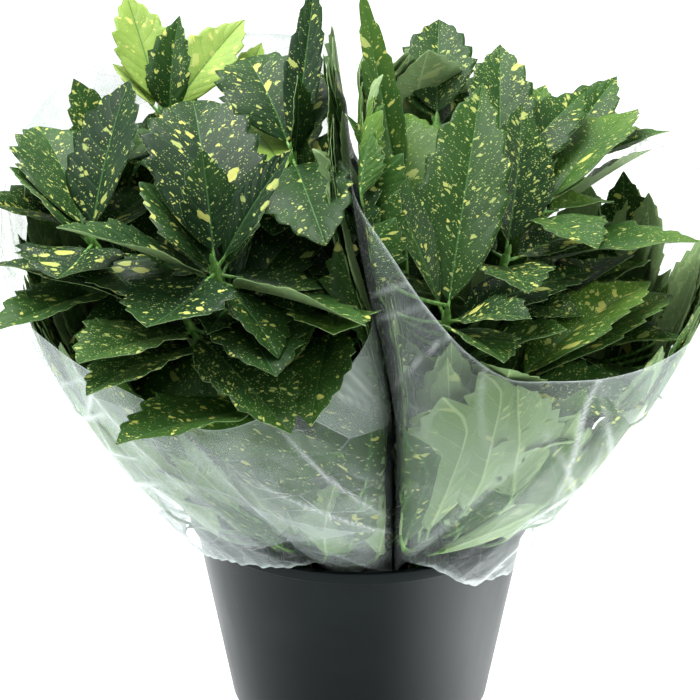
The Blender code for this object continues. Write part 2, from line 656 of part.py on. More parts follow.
def mesh_arrays(item):
    """An object's evaluated points and triangles."""
    evaluated = item.evaluated_get(bpy.context.evaluated_depsgraph_get())
    mesh = evaluated.to_mesh()
    mesh.calc_loop_triangles()
    points = np.array([item.matrix_world @ v.co for v in mesh.vertices])
    faces = [tuple(t.vertices) for t in mesh.loop_triangles]
    evaluated.to_mesh_clear()
    return points, faces


def leaf_solid(name, points, faces, collection):
    item = mesh_object(name, points, faces, collection)
    wall = item.modifiers.new("Blade", "SOLIDIFY")
    wall.thickness = BLADE_THICKNESS
    wall.offset = 0.0
    return item


def fuse(item, collection):
    """Join every object of a collection to an item, and remove them."""
    join = item.modifiers.new("Join", "BOOLEAN")
    join.operation = "UNION"
    join.operand_type = "COLLECTION"
    join.collection = collection
    join.solver = "MANIFOLD"
    bpy.context.view_layer.update()
    evaluated = item.evaluated_get(bpy.context.evaluated_depsgraph_get())
    mesh = bpy.data.meshes.new_from_object(evaluated)
    item.modifiers.clear()
    item.data = mesh
    for part in list(collection.objects):
        bpy.data.objects.remove(part)
    bpy.data.collections.remove(collection)


def make_bunches(parts, cutters, fixed):
    """All leafy stems: the stems first, then their listed leaves, then the tiers below those."""
    green = plain_material("leafy_stem", (0.045, 0.13, 0.03), 0.4)
    stems, paths, centres = {}, {}, {}
    obstacles = Obstacles()
    for item in fixed:
        obstacles.add("", "shell", *mesh_arrays(item))
    for name, bunch in BUNCHES.items():
        letters = bunch["middle"] + bunch["ring"]
        centre = np.mean([SHOOTS[letter]["top"][:2] for letter in letters], axis=0)
        for letter in letters:
            path = stem_path(bunch, letter)
            stem = tube("leafy_stem_" + letter, path, stem_radii(path), parts, green)
            below = path[0] - 0.01 * unit(path[1] - path[0])
            tube("hole_" + letter, [below, path[1]], [STEM_FOOT_RADIUS + 0.0004] * 2, cutters)
            stems[letter], paths[letter], centres[letter] = stem, path, centre
            obstacles.add(letter, "stem", *mesh_arrays(stem))
    groups = {letter: new_collection("leaves_" + letter) for letter in stems}
    counts = {letter: 0 for letter in stems}
    wanted = [(letter, leaf, LISTED_MOVES) for letter in SHOOTS for leaf in listed_leaves(letter)]
    for tier in TIERS:
        for letter in SHOOTS:
            for leaf in tier_leaves(tier, letter, paths[letter], centres[letter]):
                if leaf[0] < HIGH_DROP and SHOOTS[letter]["top"][2] > HIGH_TOP:
                    continue
                wanted.append((letter, leaf, TIER_MOVES))
    for letter, (drop, leaf), moves in wanted:
        if sum(counts.values()) == MOST_LEAVES:
            break
        root = point_below_top(paths[letter], drop)
        placed = place_leaf(letter, leaf, root, obstacles, moves)
        if placed is None:
            continue
        counts[letter] += 1
        obstacles.add(letter, "blade", *slab(*placed, GUARD))
        leaf_solid(f"leaf_{letter}_{counts[letter]}", *placed, groups[letter])
    for letter, stem in stems.items():
        fuse(stem, groups[letter])


def main():
    clear_scene()
    parts = new_collection(MODEL_NAME)
    cutters = new_collection("cutters", hidden=True)
    bucket = make_bucket(parts)
    films = [make_sleeve("film_sleeve_" + name, sleeve, parts) for name, sleeve in SLEEVES.items()]
    for name, bunch in BUNCHES.items():
        make_tie("tie_band_" + name, bunch, parts)
    bpy.context.view_layer.update()
    make_bunches(parts, cutters, [bucket] + films)
    make_water(parts, cutters)
    for cutter in cutters.objects:
        cutter.hide_render = True
        cutter.display_type = "WIRE"


main()
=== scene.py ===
import math
import bmesh
import bpy
import numpy as np
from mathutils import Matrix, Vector
from mathutils.bvhtree import BVHTree


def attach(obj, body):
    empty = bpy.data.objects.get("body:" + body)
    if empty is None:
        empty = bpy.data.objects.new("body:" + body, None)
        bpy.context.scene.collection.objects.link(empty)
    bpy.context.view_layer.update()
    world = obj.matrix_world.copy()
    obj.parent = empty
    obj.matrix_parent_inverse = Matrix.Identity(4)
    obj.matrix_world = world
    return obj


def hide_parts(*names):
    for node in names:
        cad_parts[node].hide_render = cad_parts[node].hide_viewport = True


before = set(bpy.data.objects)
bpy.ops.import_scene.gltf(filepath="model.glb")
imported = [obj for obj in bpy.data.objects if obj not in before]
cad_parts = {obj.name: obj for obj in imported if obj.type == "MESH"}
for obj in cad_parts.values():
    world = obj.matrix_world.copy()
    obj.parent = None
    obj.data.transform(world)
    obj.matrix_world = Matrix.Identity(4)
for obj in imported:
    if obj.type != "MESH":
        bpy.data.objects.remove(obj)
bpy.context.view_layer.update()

print("frame loaded:", len(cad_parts), "nodes")

# The camera stands where the photo was taken from: 20 degrees down, from in front of the bucket.
cameraPlace = {"location": (-0.008, -1.4492, 0.9171), "pitch": 70.0, "lens": 102.857, "sensor": 36.0}

# The two bundles as they are built: a middle stem and a ring round it, tied at the waist.
bunches = {
    "left": {"tieX": -0.055, "footX": -0.036, "middle": "b", "ring": "edciagshf", "turn": 25},
    "right": {"tieX": 0.055, "footX": 0.036, "middle": "t", "ring": "onrlmjkqp", "turn": -5},
}
stems = {
    "footRadius": 0.0035, "topRadius": 0.0020, "pitch": 0.0080, "footSpread": 1.8, "floor": 0.0028,
    "tieHeight": 0.200, "tieWidth": 0.008, "tieThickness": 0.0012, "seatGap": 0.0003,
    "bud": 0.010, "sides": 12, "rings": 64, "nodeSwell": 0.0010, "nodeLength": 0.0040,
}
leaves = {
    "petiole": 0.012, "stepDown": 0.0022, "fold": 14.0, "lowest": 0.262, "highTop": 0.495,
    "highDrop": 0.040, "toothOut": 1.07, "shoulder": 0.20, "firstTooth": 0.46, "wave": 0.0012,
    "matchWithin": 0.00075, "droopAbove": 0.385, "droopRise": -8.0, "tierBend": 12, "tierTaper": 0.3,
    "rise": 0.85, "fall": 0.5, "lowFrom": 0.026, "lowShade": 0.30, "stalkRadii": (0.0017, 0.0009),
    "stalkRings": 7, "stalkSides": 8, "stalkIn": 0.007, "stalkSag": 0.0006, "stalkSink": 0.0004,
}

# Each shoot: its top (m), how its leaves are coloured (spots, blotches, shade), and its leaves:
# drop (mm), heading and rise (deg), length and width (mm), roll and bend (deg), taper.
shoots = {
    "a": {"top": (-0.202, -0.030, 0.490), "tone": (0.50, 0.70, 0.10), "leaves": (
        (0, 116, 26, 112, 84, 10, 25, 0.1), (0, 89, 34, 120, 66, -20, 15, 0.1),
        (0, 63, 11, 85, 50, 0, 10, 0.2), (0, -104, -4, 60, 86, 0, -15, 0.0),
        (0, -60, 0, 75, 64, 0, -20, 0.1))},
    "b": {"top": (-0.106, -0.070, 0.481), "tone": (0.42, 0.60, 0.04), "leaves": (
        (0, 100, 35, 150, 90, 0, 45, -0.2), (0, 106, 64, 76, 44, 0, 12, 0.5),
        (0, -12, 58, 97, 38, 45, 12, 0.3), (0, -115, -6, 90, 85, 0, -20, -0.1),
        (0, -10, -5, 65, 50, 0, -20, 0.0), (0, 132, 5, 88, 46, -20, -35, 0.2),
        (26, -70, -8, 100, 70, 0, 10, 0.1), (30, -165, 8, 95, 66, -20, 10, 0.1))},
    # c and d: lime greens, partly the young leaves' own colour and partly painted backlit glow
    "c": {"top": (-0.156, 0.100, 0.552), "tone": (0.45, 0.55, 0.90), "leaves": (
        (0, 117, 33, 98, 52, 0, 5, 0.3), (0, 124, 12, 58, 34, 0, 15, 0.4),
        (0, 61, 20, 95, 50, 25, 15, 0.3), (0, -60, 0, 80, 55, 0, 20, 0.2))},
    "d": {"top": (-0.099, 0.120, 0.549), "tone": (0.45, 0.35, 0.85), "leaves": (
        (0, 91, 43, 88, 30, 70, 20, 0.5), (0, 78, 33, 50, 38, 0, 20, 0.5),
        (0, -66, -9, 90, 56, 0, 30, 0.3))},
    "e": {"top": (-0.052, 0.040, 0.536), "tone": (0.40, 0.35, 0.06), "leaves": (
        (0, 105, 21, 100, 80, -10, 40, 0.0), (0, 67, 7, 90, 66, 0, 30, 0.0),
        (0, -69, -14, 120, 72, 15, 20, 0.1), (0, 79, 35, 150, 30, 0, 0, 0.8),
        (0, -110, -8, 80, 66, 0, 20, 0.0))},
    "f": {"top": (-0.020, -0.060, 0.446), "tone": (0.55, 0.35, 0.30), "leaves": (
        (0, 117, 9, 95, 66, -20, 20, 0.0), (0, 80, 6, 70, 44, 0, 20, 0.1),
        (0, 114, -3, 60, 46, 0, 0, 0.1), (0, -80, 0, 75, 66, 0, 10, 0.0))},
    "g": {"top": (-0.126, -0.090, 0.447), "tone": (0.80, 0.35, 0.10), "leaves": (
        (0, 150, 9, 150, 56, -12, 20, 0.3), (0, 132, 18, 125, 76, 0, 20, 0.2),
        (10, 148, -8, 125, 70, -25, 15, 0.2), (20, -123, 0, 115, 60, 0, 20, 0.2),
        (0, 47, -5, 95, 66, 0, 10, 0.1), (0, -69, -3, 110, 70, 0, 10, 0.1),
        (0, -130, 0, 100, 76, 0, 15, 0.1))},
    "h": {"top": (-0.073, -0.126, 0.401), "tone": (0.50, 0.50, 0.32), "leaves": (
        (0, 48, 2, 85, 70, 15, 10, -0.1), (0, 71, 21, 115, 52, 0, 0, 0.2),
        (0, 150, -6, 100, 64, -35, 10, 0.0), (20, 5, 20, 90, 60, 35, 0, 0.0),
        (18, 178, 14, 95, 62, -35, 10, 0.1), (30, -5, 6, 85, 58, 40, 10, 0.2),
        (34, 172, 4, 95, 60, -40, 10, 0.2))},
    "i": {"top": (-0.190, 0.065, 0.475), "tone": (0.70, 0.30, 0.12), "leaves": (
        (0, 150, 48, 105, 58, 0, 20, 0.3), (0, 60, 50, 95, 52, 0, 15, 0.4),
        (0, 195, 30, 100, 60, 0, 20, 0.2), (0, 105, 25, 110, 64, 0, 25, 0.2))},
    "j": {"top": (0.031, -0.020, 0.507), "tone": (0.40, 0.30, 0.36), "leaves": (
        (0, 92, 29, 95, 66, 0, 20, 0.3), (0, 105, 45, 175, 28, 60, 20, 0.9),
        (0, 98, 47, 170, 28, -20, 20, 0.9), (0, 54, 8, 95, 54, 20, 10, 0.4))},
    "k": {"top": (0.062, -0.080, 0.445), "tone": (0.65, 0.35, 0.12), "leaves": (
        (0, 89, 34, 185, 70, 0, 5, 0.3), (0, 117, 31, 155, 46, 5, 20, 0.3),
        (0, -51, 16, 80, 44, 15, 20, 0.4), (0, 35, 5, 135, 46, 15, 20, 0.4),
        (0, -90, 0, 75, 60, 0, 20, 0.2), (34, 115, -3, 82, 56, -30, 10, 0.3),
        (40, -35, 32, 100, 60, 10, 10, 0.3))},
    "l": {"top": (0.107, 0.040, 0.516), "tone": (0.75, 0.35, 0.20), "leaves": (
        (0, 87, 39, 120, 56, 0, 20, 0.4), (0, 102, 34, 110, 40, -20, 20, 0.5),
        (0, 56, 30, 115, 50, 20, 20, 0.4), (0, 70, 36, 135, 48, 10, 20, 0.5),
        (0, 118, 6, 88, 50, -20, 10, 0.4))},
    "m": {"top": (0.060, 0.090, 0.546), "tone": (0.70, 0.35, 0.14), "leaves": (
        (0, 87, 39, 95, 60, 0, 20, 0.4), (0, 104, 26, 70, 50, 0, 20, 0.4),
        (0, 70, 27, 70, 30, 70, 20, 0.5), (0, 125, 1, 60, 40, 0, 20, 0.4))},
    "n": {"top": (0.139, 0.020, 0.499), "tone": (0.55, 0.25, 0.42), "leaves": (
        (0, 52, 20, 135, 70, -10, 20, 0.4), (0, 66, 15, 70, 40, 0, 20, 0.5),
        (0, 40, -6, 70, 42, 0, 20, 0.5), (0, -70, 0, 85, 55, 0, 10, 0.4))},
    # o and p: shade raised, partly the leaves' own green and partly painted glow of light through them
    "o": {"top": (0.150, -0.020, 0.435), "tone": (0.85, 0.50, 0.26), "leaves": (
        (0, 58, 26, 125, 62, -10, 20, 0.4), (0, 46, 10, 105, 56, -10, 20, 0.4),
        (18, 38, 6, 105, 56, 0, 20, 0.4), (0, 87, 22, 105, 70, 0, 20, 0.3),
        (0, 112, 13, 100, 50, 0, 20, 0.4))},
    "p": {"top": (0.111, -0.100, 0.403), "tone": (0.85, 0.50, 0.34), "leaves": (
        (10, 37, 12, 150, 72, 0, 20, 0.1), (0, 45, 12, 130, 70, 0, 20, 0.1),
        (0, 60, 10, 100, 52, 0, 20, 0.2), (0, 125, 13, 95, 66, 0, 20, 0.1),
        (0, -25, -5, 85, 60, 20, 10, 0.2), (26, -80, 38, 85, 56, 0, 10, 0.2),
        (30, -20, 30, 95, 60, 20, 10, 0.2))},
    "q": {"top": (0.065, -0.120, 0.310), "tone": (0.30, 0.20, 0.40), "leaves": (
        (0, -108, 63, 112, 44, 0, 12, 0.6), (0, -84, 70, 122, 56, 0, 15, 0.4),
        (0, -38, 60, 108, 58, -10, 15, 0.3), (4, -45, 12, 80, 56, 20, 10, 0.2),
        (6, 170, 30, 75, 48, -20, 10, 0.4), (10, -150, 52, 90, 52, 0, 10, 0.4))},
    "r": {"top": (0.150, 0.100, 0.500), "tone": (0.60, 0.40, 0.22), "leaves": (
        (0, 95, 50, 105, 54, 0, 20, 0.5), (0, 40, 45, 105, 54, 0, 20, 0.5),
        (0, 5, 25, 95, 56, 0, 20, 0.4), (0, 130, 28, 100, 56, 0, 20, 0.4))},
    "s": {"top": (-0.052, -0.106, 0.288), "tone": (0.45, 0.40, 0.40), "leaves": (
        (0, -98, 66, 92, 64, 0, 15, 0.3), (0, 168, 36, 105, 60, 0, 20, 0.4),
        (0, -36, 48, 86, 54, 0, 15, 0.3), (6, -140, 56, 105, 58, 0, 10, 0.4),
        (0, 100, 20, 90, 52, 0, 20, 0.3), (2, -150, 16, 78, 54, -15, 10, 0.3),
        (10, -170, 62, 100, 54, 0, 10, 0.3))},
    "t": {"top": (0.109, -0.020, 0.472), "tone": (0.85, 0.50, 0.08), "leaves": (
        (0, 80, 48, 118, 56, 30, 20, 0.4), (0, 106, 12, 95, 50, 0, 20, 0.4),
        (0, 54, 8, 95, 50, 0, 20, 0.4), (0, -100, 5, 85, 55, 0, 10, 0.4),
        (34, -50, 0, 100, 62, 0, 10, 0.2), (38, -125, -3, 95, 60, 0, 10, 0.2))},
}

# Leaves lower on each stem: drop (mm), turns from outward, rise, steeper to the front, length, width
tiers = (
    (16, (70, -70), 44, 0, 108, 64),
    (100, (0, 50, -50), 54, 20, 104, 62),
    (46, (0, 48, -48, 110, -110), 34, 12, 112, 68),
    (74, (25, -25, 80, -80), 46, 20, 108, 66),
    (28, (150, -150, 20, -20), 50, 0, 100, 60),
)


# Shader helpers: one node with its options and inputs, and short names for sums, ramps and mixes.
def put(tree, kind, inputs=None, **options):
    node = tree.nodes.new("ShaderNode" + kind)
    for key, value in options.items():
        setattr(node, key, value)
    for key, value in (inputs or {}).items():
        if isinstance(value, bpy.types.NodeSocket):
            tree.links.new(value, node.inputs[key])
        else:
            node.inputs[key].default_value = value
    return node


def join(tree, source, target):
    tree.links.new(source, target)


def calc(tree, operation, a, b=0.0, c=0.0):
    return put(tree, "Math", {0: a, 1: b, 2: c}, operation=operation).outputs[0]


def times(tree, a, b):
    return calc(tree, "MULTIPLY", a, b)


def plus(tree, a, b):
    return calc(tree, "ADD", a, b)


def minus(tree, a, b):
    return calc(tree, "SUBTRACT", a, b)


def vectorCalc(tree, operation, a, b):
    return put(tree, "VectorMath", {0: a, 1: b}, operation=operation).outputs[0]


def vectorLength(tree, vector):
    return put(tree, "VectorMath", {0: vector}, operation="LENGTH").outputs["Value"]


def channels(tree, colour):
    return put(tree, "SeparateColor", {0: colour}).outputs


def axesOf(tree, vector):
    return put(tree, "SeparateXYZ", {0: vector}).outputs


def smoothRamp(tree, value, low, high, start=0.0, end=1.0):
    inputs = {"Value": value, "From Min": low, "From Max": high, "To Min": start, "To Max": end}
    return put(tree, "MapRange", inputs, interpolation_type="SMOOTHSTEP").outputs[0]


def mixColour(tree, share, a, b):
    a = a if isinstance(a, bpy.types.NodeSocket) else (*a, 1.0)
    b = b if isinstance(b, bpy.types.NodeSocket) else (*b, 1.0)
    return put(tree, "Mix", {0: share, 6: a, 7: b}, data_type="RGBA").outputs[2]


def noise(tree, vector, scale, detail=2.0, roughness=0.5):
    inputs = {"Vector": vector, "Scale": scale, "Detail": detail, "Roughness": roughness}
    return put(tree, "TexNoise", inputs)


def voronoi(tree, vector, scale):
    return put(tree, "TexVoronoi", {"Vector": vector, "Scale": scale})


def newGroup(name, inputs, outputs):
    tree = bpy.data.node_groups.new(name, "ShaderNodeTree")
    for label, kind in inputs:
        tree.interface.new_socket(label, in_out="INPUT", socket_type="NodeSocket" + kind)
    for label, kind in outputs:
        tree.interface.new_socket(label, in_out="OUTPUT", socket_type="NodeSocket" + kind)
    return tree, tree.nodes.new("NodeGroupInput").outputs, tree.nodes.new("NodeGroupOutput").inputs


def newMaterial(name, values):
    material = bpy.data.materials.new(name)
    material.use_nodes = True
    tree = material.node_tree
    shader = tree.nodes["Principled BSDF"]
    for key, value in values.items():
        shader.inputs[key].default_value = value
    return material, tree, shader.inputs


def bump(tree, height, strength, distance):
    return put(tree, "Bump", {"Height": height, "Strength": strength, "Distance": distance}).outputs[0]


# Spots, veins and the relief between veins, worked out on a leaf's own plane.
# Spots are cells stretched along the side veins; a cell has a spot where its random number is low.
# Each kind of spot: cells to a metre, smallest and largest radius in a cell, share at full strength.
leafMarks = {
    "veinAngle": 48.0, "stretch": 0.50, "dotStretch": 0.75, "veins": 8.0, "sweep": 0.24,
    "speckles": (760.0, 0.12, 0.42, 0.70), "drops": (330.0, 0.10, 0.44, 0.58),
    "blotches": (115.0, 0.12, 0.46, 0.36), "soft": 0.07, "wobble": (0.003, 0.006, 0.0),
    "wobbleScale": 330.0, "sideShift": 0.31, "leafShift": 7.3, "lineWidth": 0.055,
    "ribNarrows": -0.0008, "ribBase": 0.0013,
}


def makeLeafMarks():
    inputs = (("Blade", "Vector"), ("Place", "Vector"), ("Tone", "Color"))
    outputs = [(label, "Float") for label in ("Spots", "Warmth", "Veins", "Midrib", "Relief")]
    tree, given, result = newGroup("leafMarks", inputs, outputs)
    blade, place = axesOf(tree, given["Blade"]), axesOf(tree, given["Place"])
    tone = channels(tree, given["Tone"])
    side, out = calc(tree, "SIGN", blade[1]), calc(tree, "ABSOLUTE", blade[1])
    angle = math.radians(leafMarks["veinAngle"])
    cosine, sine = math.cos(angle), math.sin(angle)
    alongVein = plus(tree, times(tree, blade[0], cosine), times(tree, out, sine))
    acrossVein = minus(tree, times(tree, out, cosine), times(tree, blade[0], sine))
    shifted = plus(tree, acrossVein, times(tree, side, leafMarks["sideShift"]))
    ownPlace = times(tree, tone[0], leafMarks["leafShift"])

    def plane(stretch):
        stretched = times(tree, alongVein, stretch)
        return put(tree, "CombineXYZ", {0: stretched, 1: shifted, 2: ownPlace}).outputs[0]

    def spotLayer(where, name, amount):
        scale, smallest, largest, most = leafMarks[name]
        cells = voronoi(tree, where, scale).outputs
        random = channels(tree, cells["Color"])
        size = calc(tree, "MULTIPLY_ADD", calc(tree, "POWER", random[1], 1.6), largest - smallest, smallest)
        shape = smoothRamp(tree, cells["Distance"], size, plus(tree, size, leafMarks["soft"]), 1.0, 0.0)
        kept = calc(tree, "LESS_THAN", random[0], times(tree, amount, most))
        return times(tree, shape, kept), random[2]

    longPlane = plane(leafMarks["stretch"])
    wobble = noise(tree, longPlane, leafMarks["wobbleScale"], 2.0).outputs["Color"]
    wobble = vectorCalc(tree, "SUBTRACT", wobble, (0.5, 0.5, 0.5))
    longPlane = vectorCalc(tree, "ADD", longPlane, vectorCalc(tree, "MULTIPLY", wobble, leafMarks["wobble"]))
    speckles = spotLayer(plane(leafMarks["dotStretch"]), "speckles", tone[1])[0]
    drops, warmDrops = spotLayer(longPlane, "drops", tone[1])
    blotches, warmBlotch = spotLayer(longPlane, "blotches", tone[2])
    spots = calc(tree, "MAXIMUM", times(tree, speckles, 0.85), calc(tree, "MAXIMUM", drops, blotches))
    join(tree, spots, result["Spots"])
    warmth = calc(tree, "MAXIMUM", times(tree, warmDrops, drops), times(tree, warmBlotch, blotches))
    join(tree, warmth, result["Warmth"])

    # side veins: lines at even steps of the place, swept forward with a power of the share across
    reach = calc(tree, "ABSOLUTE", place[1])
    swept = minus(tree, place[0], times(tree, calc(tree, "POWER", reach, 1.3), leafMarks["sweep"]))
    phase = calc(tree, "MULTIPLY_ADD", swept, leafMarks["veins"], times(tree, side, 0.2))
    fraction = calc(tree, "FRACT", plus(tree, phase, 20.0))
    apart = minus(tree, 0.5, calc(tree, "ABSOLUTE", minus(tree, fraction, 0.5)))
    line = smoothRamp(tree, apart, 0.0, leafMarks["lineWidth"], 1.0, 0.0)
    join(tree, times(tree, line, smoothRamp(tree, reach, 0.55, 1.0, 1.0, 0.15)), result["Veins"])
    ribWidth = calc(tree, "MULTIPLY_ADD", place[0], leafMarks["ribNarrows"], leafMarks["ribBase"])
    join(tree, smoothRamp(tree, out, times(tree, ribWidth, 0.5), ribWidth, 1.0, 0.0), result["Midrib"])
    swell = calc(tree, "POWER", times(tree, apart, 2.0), 0.6)
    join(tree, times(tree, swell, smoothRamp(tree, reach, 0.0, 0.2)), result["Relief"])
    return tree


leafGroup = makeLeafMarks()


upperLook = {
    "deep": (0.009, 0.029, 0.009), "fresh": (0.033, 0.090, 0.015), "bright": (0.100, 0.200, 0.025),
    # lime: partly the young leaves' own colour and partly painted backlit glow
    "lime": (0.360, 0.500, 0.110), "yellow": (0.560, 0.560, 0.130), "paleSpot": (0.340, 0.430, 0.130),
    "vein": (0.060, 0.160, 0.045), "stops": ((0.0, "deep"), (0.38, "fresh"), (0.66, "bright"), (1.0, "lime")),
    # the tip amount on the next line paints the tips lighter, a painted glow of light through the blade
    "cloudy": 0.28, "paintedTipGlow": 0.26,
}
underLook = {
    "plain": (0.115, 0.215, 0.070), "pale": (0.250, 0.370, 0.160), "spot": (0.460, 0.540, 0.220),
    "vein": (0.340, 0.460, 0.220),
}
stemLook = {
    "green": (0.070, 0.200, 0.030), "light": (0.200, 0.400, 0.090), "foot": (0.120, 0.150, 0.060),
    "pore": (0.320, 0.360, 0.160),
}


def bladeInputs(tree):
    # the leaf's own maps and tone, its marks, its own random number, and its shade
    tone = put(tree, "Attribute", attribute_name="leafTone").outputs
    inputs = {
        "Blade": put(tree, "UVMap", uv_map="bladeMetres").outputs[0],
        "Place": put(tree, "UVMap", uv_map="bladePlace").outputs[0],
        "Tone": tone["Color"],
    }
    marks = put(tree, "Group", inputs, node_tree=leafGroup).outputs
    return inputs["Blade"], inputs["Place"], marks, channels(tree, tone["Color"])[0], tone["Alpha"]


def shadeColour(tree, shade):
    # four greens along the shade number
    ramp = put(tree, "ValToRGB", {0: shade})
    elements = ramp.color_ramp.elements
    first, *middle, last = upperLook["stops"]
    for element, stop in ((elements[0], first), (elements[1], last)):
        element.color = (*upperLook[stop[1]], 1.0)
    for position, name in middle:
        elements.new(position).color = (*upperLook[name], 1.0)
    return ramp.outputs[0]


def makeUpperMaterial():
    values = {"Roughness": 0.4, "IOR": 1.45, "Specular IOR Level": 0.14}
    material, tree, shader = newMaterial("laurelUpper", values)
    blade, place, marks, own, shade = bladeInputs(tree)
    cloud = noise(tree, blade, 32.0, 3.0).outputs["Fac"]
    shade = plus(tree, shade, times(tree, minus(tree, cloud, 0.5), upperLook["cloudy"]))
    # greens painted lighter towards the tip by each leaf's own number: painted glow of light through the
    # blade
    towardsTip = smoothRamp(tree, axesOf(tree, place)[0], 0.35, 1.0)
    paintedGlow = times(tree, towardsTip, times(tree, own, upperLook["paintedTipGlow"]))
    colour = shadeColour(tree, plus(tree, shade, paintedGlow))
    colour = mixColour(tree, times(tree, marks["Veins"], 0.30), colour, upperLook["vein"])
    colour = mixColour(tree, times(tree, marks["Midrib"], 0.65), colour, upperLook["vein"])
    spot = mixColour(tree, marks["Warmth"], upperLook["paleSpot"], upperLook["yellow"])
    join(tree, mixColour(tree, times(tree, marks["Spots"], 0.92), colour, spot), shader["Base Color"])
    rough = calc(tree, "MULTIPLY_ADD", cloud, 0.20, 0.30)
    join(tree, calc(tree, "MULTIPLY_ADD", marks["Spots"], 0.08, rough), shader["Roughness"])
    grain = noise(tree, blade, 900.0, 2.0).outputs["Fac"]
    height = plus(tree, marks["Relief"], times(tree, grain, 0.10))
    height = minus(tree, height, times(tree, marks["Midrib"], 0.6))
    join(tree, bump(tree, height, 0.55, 0.0006), shader["Normal"])
    return material


def makeUnderMaterial():
    values = {"Roughness": 0.5, "IOR": 1.40, "Specular IOR Level": 0.35}
    material, tree, shader = newMaterial("laurelUnder", values)
    blade, _, marks, own = bladeInputs(tree)[:4]
    cloud = noise(tree, blade, 40.0, 3.0).outputs["Fac"]
    lightness = plus(tree, times(tree, own, 0.6), times(tree, cloud, 0.4))
    colour = mixColour(tree, lightness, underLook["plain"], underLook["pale"])
    for mark, share, name in (("Spots", 0.55, "spot"), ("Veins", 0.5, "vein"), ("Midrib", 0.8, "vein")):
        colour = mixColour(tree, times(tree, marks[mark], share), colour, underLook[name])
    join(tree, colour, shader["Base Color"])
    join(tree, calc(tree, "MULTIPLY_ADD", cloud, 0.2, 0.42), shader["Roughness"])
    height = minus(tree, times(tree, marks["Veins"], 0.8), times(tree, marks["Relief"], 0.5))
    join(tree, bump(tree, height, 0.5, 0.0006), shader["Normal"])
    return material


def makeStemMaterial():
    material, tree, shader = newMaterial("laurelStem", {"Roughness": 0.38, "IOR": 1.45})
    place = put(tree, "TexCoord").outputs["Object"]
    stretched = put(tree, "Mapping", {"Vector": place, "Scale": (1.0, 1.0, 0.12)}).outputs[0]
    streak = noise(tree, stretched, 420.0, 3.0).outputs["Fac"]
    height = axesOf(tree, place)[2]
    colour = mixColour(tree, smoothRamp(tree, streak, 0.35, 0.7), stemLook["green"], stemLook["light"])
    colour = mixColour(tree, smoothRamp(tree, height, 0.16, 0.03), colour, stemLook["foot"])
    pores = voronoi(tree, stretched, 700.0).outputs["Distance"]
    colour = mixColour(tree, smoothRamp(tree, pores, 0.16, 0.05, 0.0, 0.5), colour, stemLook["pore"])
    join(tree, colour, shader["Base Color"])
    join(tree, calc(tree, "MULTIPLY_ADD", streak, 0.2, 0.28), shader["Roughness"])
    join(tree, bump(tree, streak, 0.3, 0.0004), shader["Normal"])
    return material


upperMaterial, underMaterial, stemMaterial = makeUpperMaterial(), makeUnderMaterial(), makeStemMaterial()
print("leaf and stem materials made")


# Leaf placing: the same rule as the solids were grown by, so each fine leaf lies on its solid one.
def unit(vector):
    return vector / np.linalg.norm(vector, axis=-1, keepdims=True)


def smoothStep(value):
    value = np.clip(value, 0.0, 1.0)
    return value * value * (3.0 - 2.0 * value)


def ringRadius(bunch):
    return stems["pitch"] / (2.0 * np.sin(np.pi / len(bunch["ring"])))


def stemPath(bunch, letter):
    # foot, two points through the tie, four points of one bend to the top, and the bud's tip
    slot = np.zeros(2)
    if letter != bunch["middle"]:
        angle = np.radians(bunch["turn"] + bunch["ring"].index(letter) * 360.0 / len(bunch["ring"]))
        slot = ringRadius(bunch) * np.array([np.cos(angle), np.sin(angle)])
    tie = np.array([bunch["tieX"], 0.0])
    foot = np.array([bunch["footX"], 0.0, stems["floor"]])
    foot[:2] += stems["footSpread"] * slot
    foot[2] += stems["footRadius"] * np.hypot(*(foot[:2] - slot - tie)) / stems["tieHeight"]
    waist = np.append(tie + slot, stems["tieHeight"])
    halfTie = np.array([0.0, 0.0, 0.75 * stems["tieWidth"]])
    top = np.array(shoots[letter]["top"])
    start = waist + halfTie
    pull = np.append(0.62 * start[:2] + 0.38 * top[:2], start[2] + 0.6 * (top[2] - start[2]))
    share = np.array([0.0, 0.35, 0.7, 1.0])[:, None]
    bend = (1 - share) ** 2 * start + 2 * share * (1 - share) * pull + share ** 2 * top
    return np.vstack([foot, waist - halfTie, bend, top + stems["bud"] * unit(top - pull)])


def pointBelowTop(path, drop):
    upward = path[-2::-1]
    for high, low in zip(upward, upward[1:]):
        length = np.linalg.norm(high - low)
        if drop <= length:
            return high + (low - high) * drop / length
        drop -= length
    return upward[-1]


def meshPoints(mesh):
    points = np.zeros(len(mesh.vertices) * 3, np.float32)
    mesh.vertices.foreach_get("co", points)
    return points.reshape(-1, 3)


def leafAxes(heading, rise, roll):
    # unit vectors along the leaf, across it and out of its upper face
    turn, lift, lean = np.radians(heading), np.radians(rise), np.radians(roll)
    along = np.stack([np.cos(lift) * np.cos(turn), np.cos(lift) * np.sin(turn), np.sin(lift)], -1)
    up = np.stack([-np.sin(lift) * np.cos(turn), -np.sin(lift) * np.sin(turn), np.cos(lift)], -1)
    level = np.cross(up, along)
    cosine, sine = np.cos(lean)[..., None], np.sin(lean)[..., None]
    return along, cosine * level + sine * up, cosine * up - sine * level


def axesOfLeaf(leaf):
    return leafAxes(*np.array([leaf[0], leaf[1], leaf[4]], float))


def bladeShare(place, taper):
    # half-width over the widest half-width: a rise and a fall, each a power of the distance to its end
    rise, fall = leaves["rise"], leaves["rise"] + leaves["fall"] * taper
    widest = rise / (rise + fall)
    return (place / widest) ** rise * ((1 - place) / (1 - widest)) ** fall


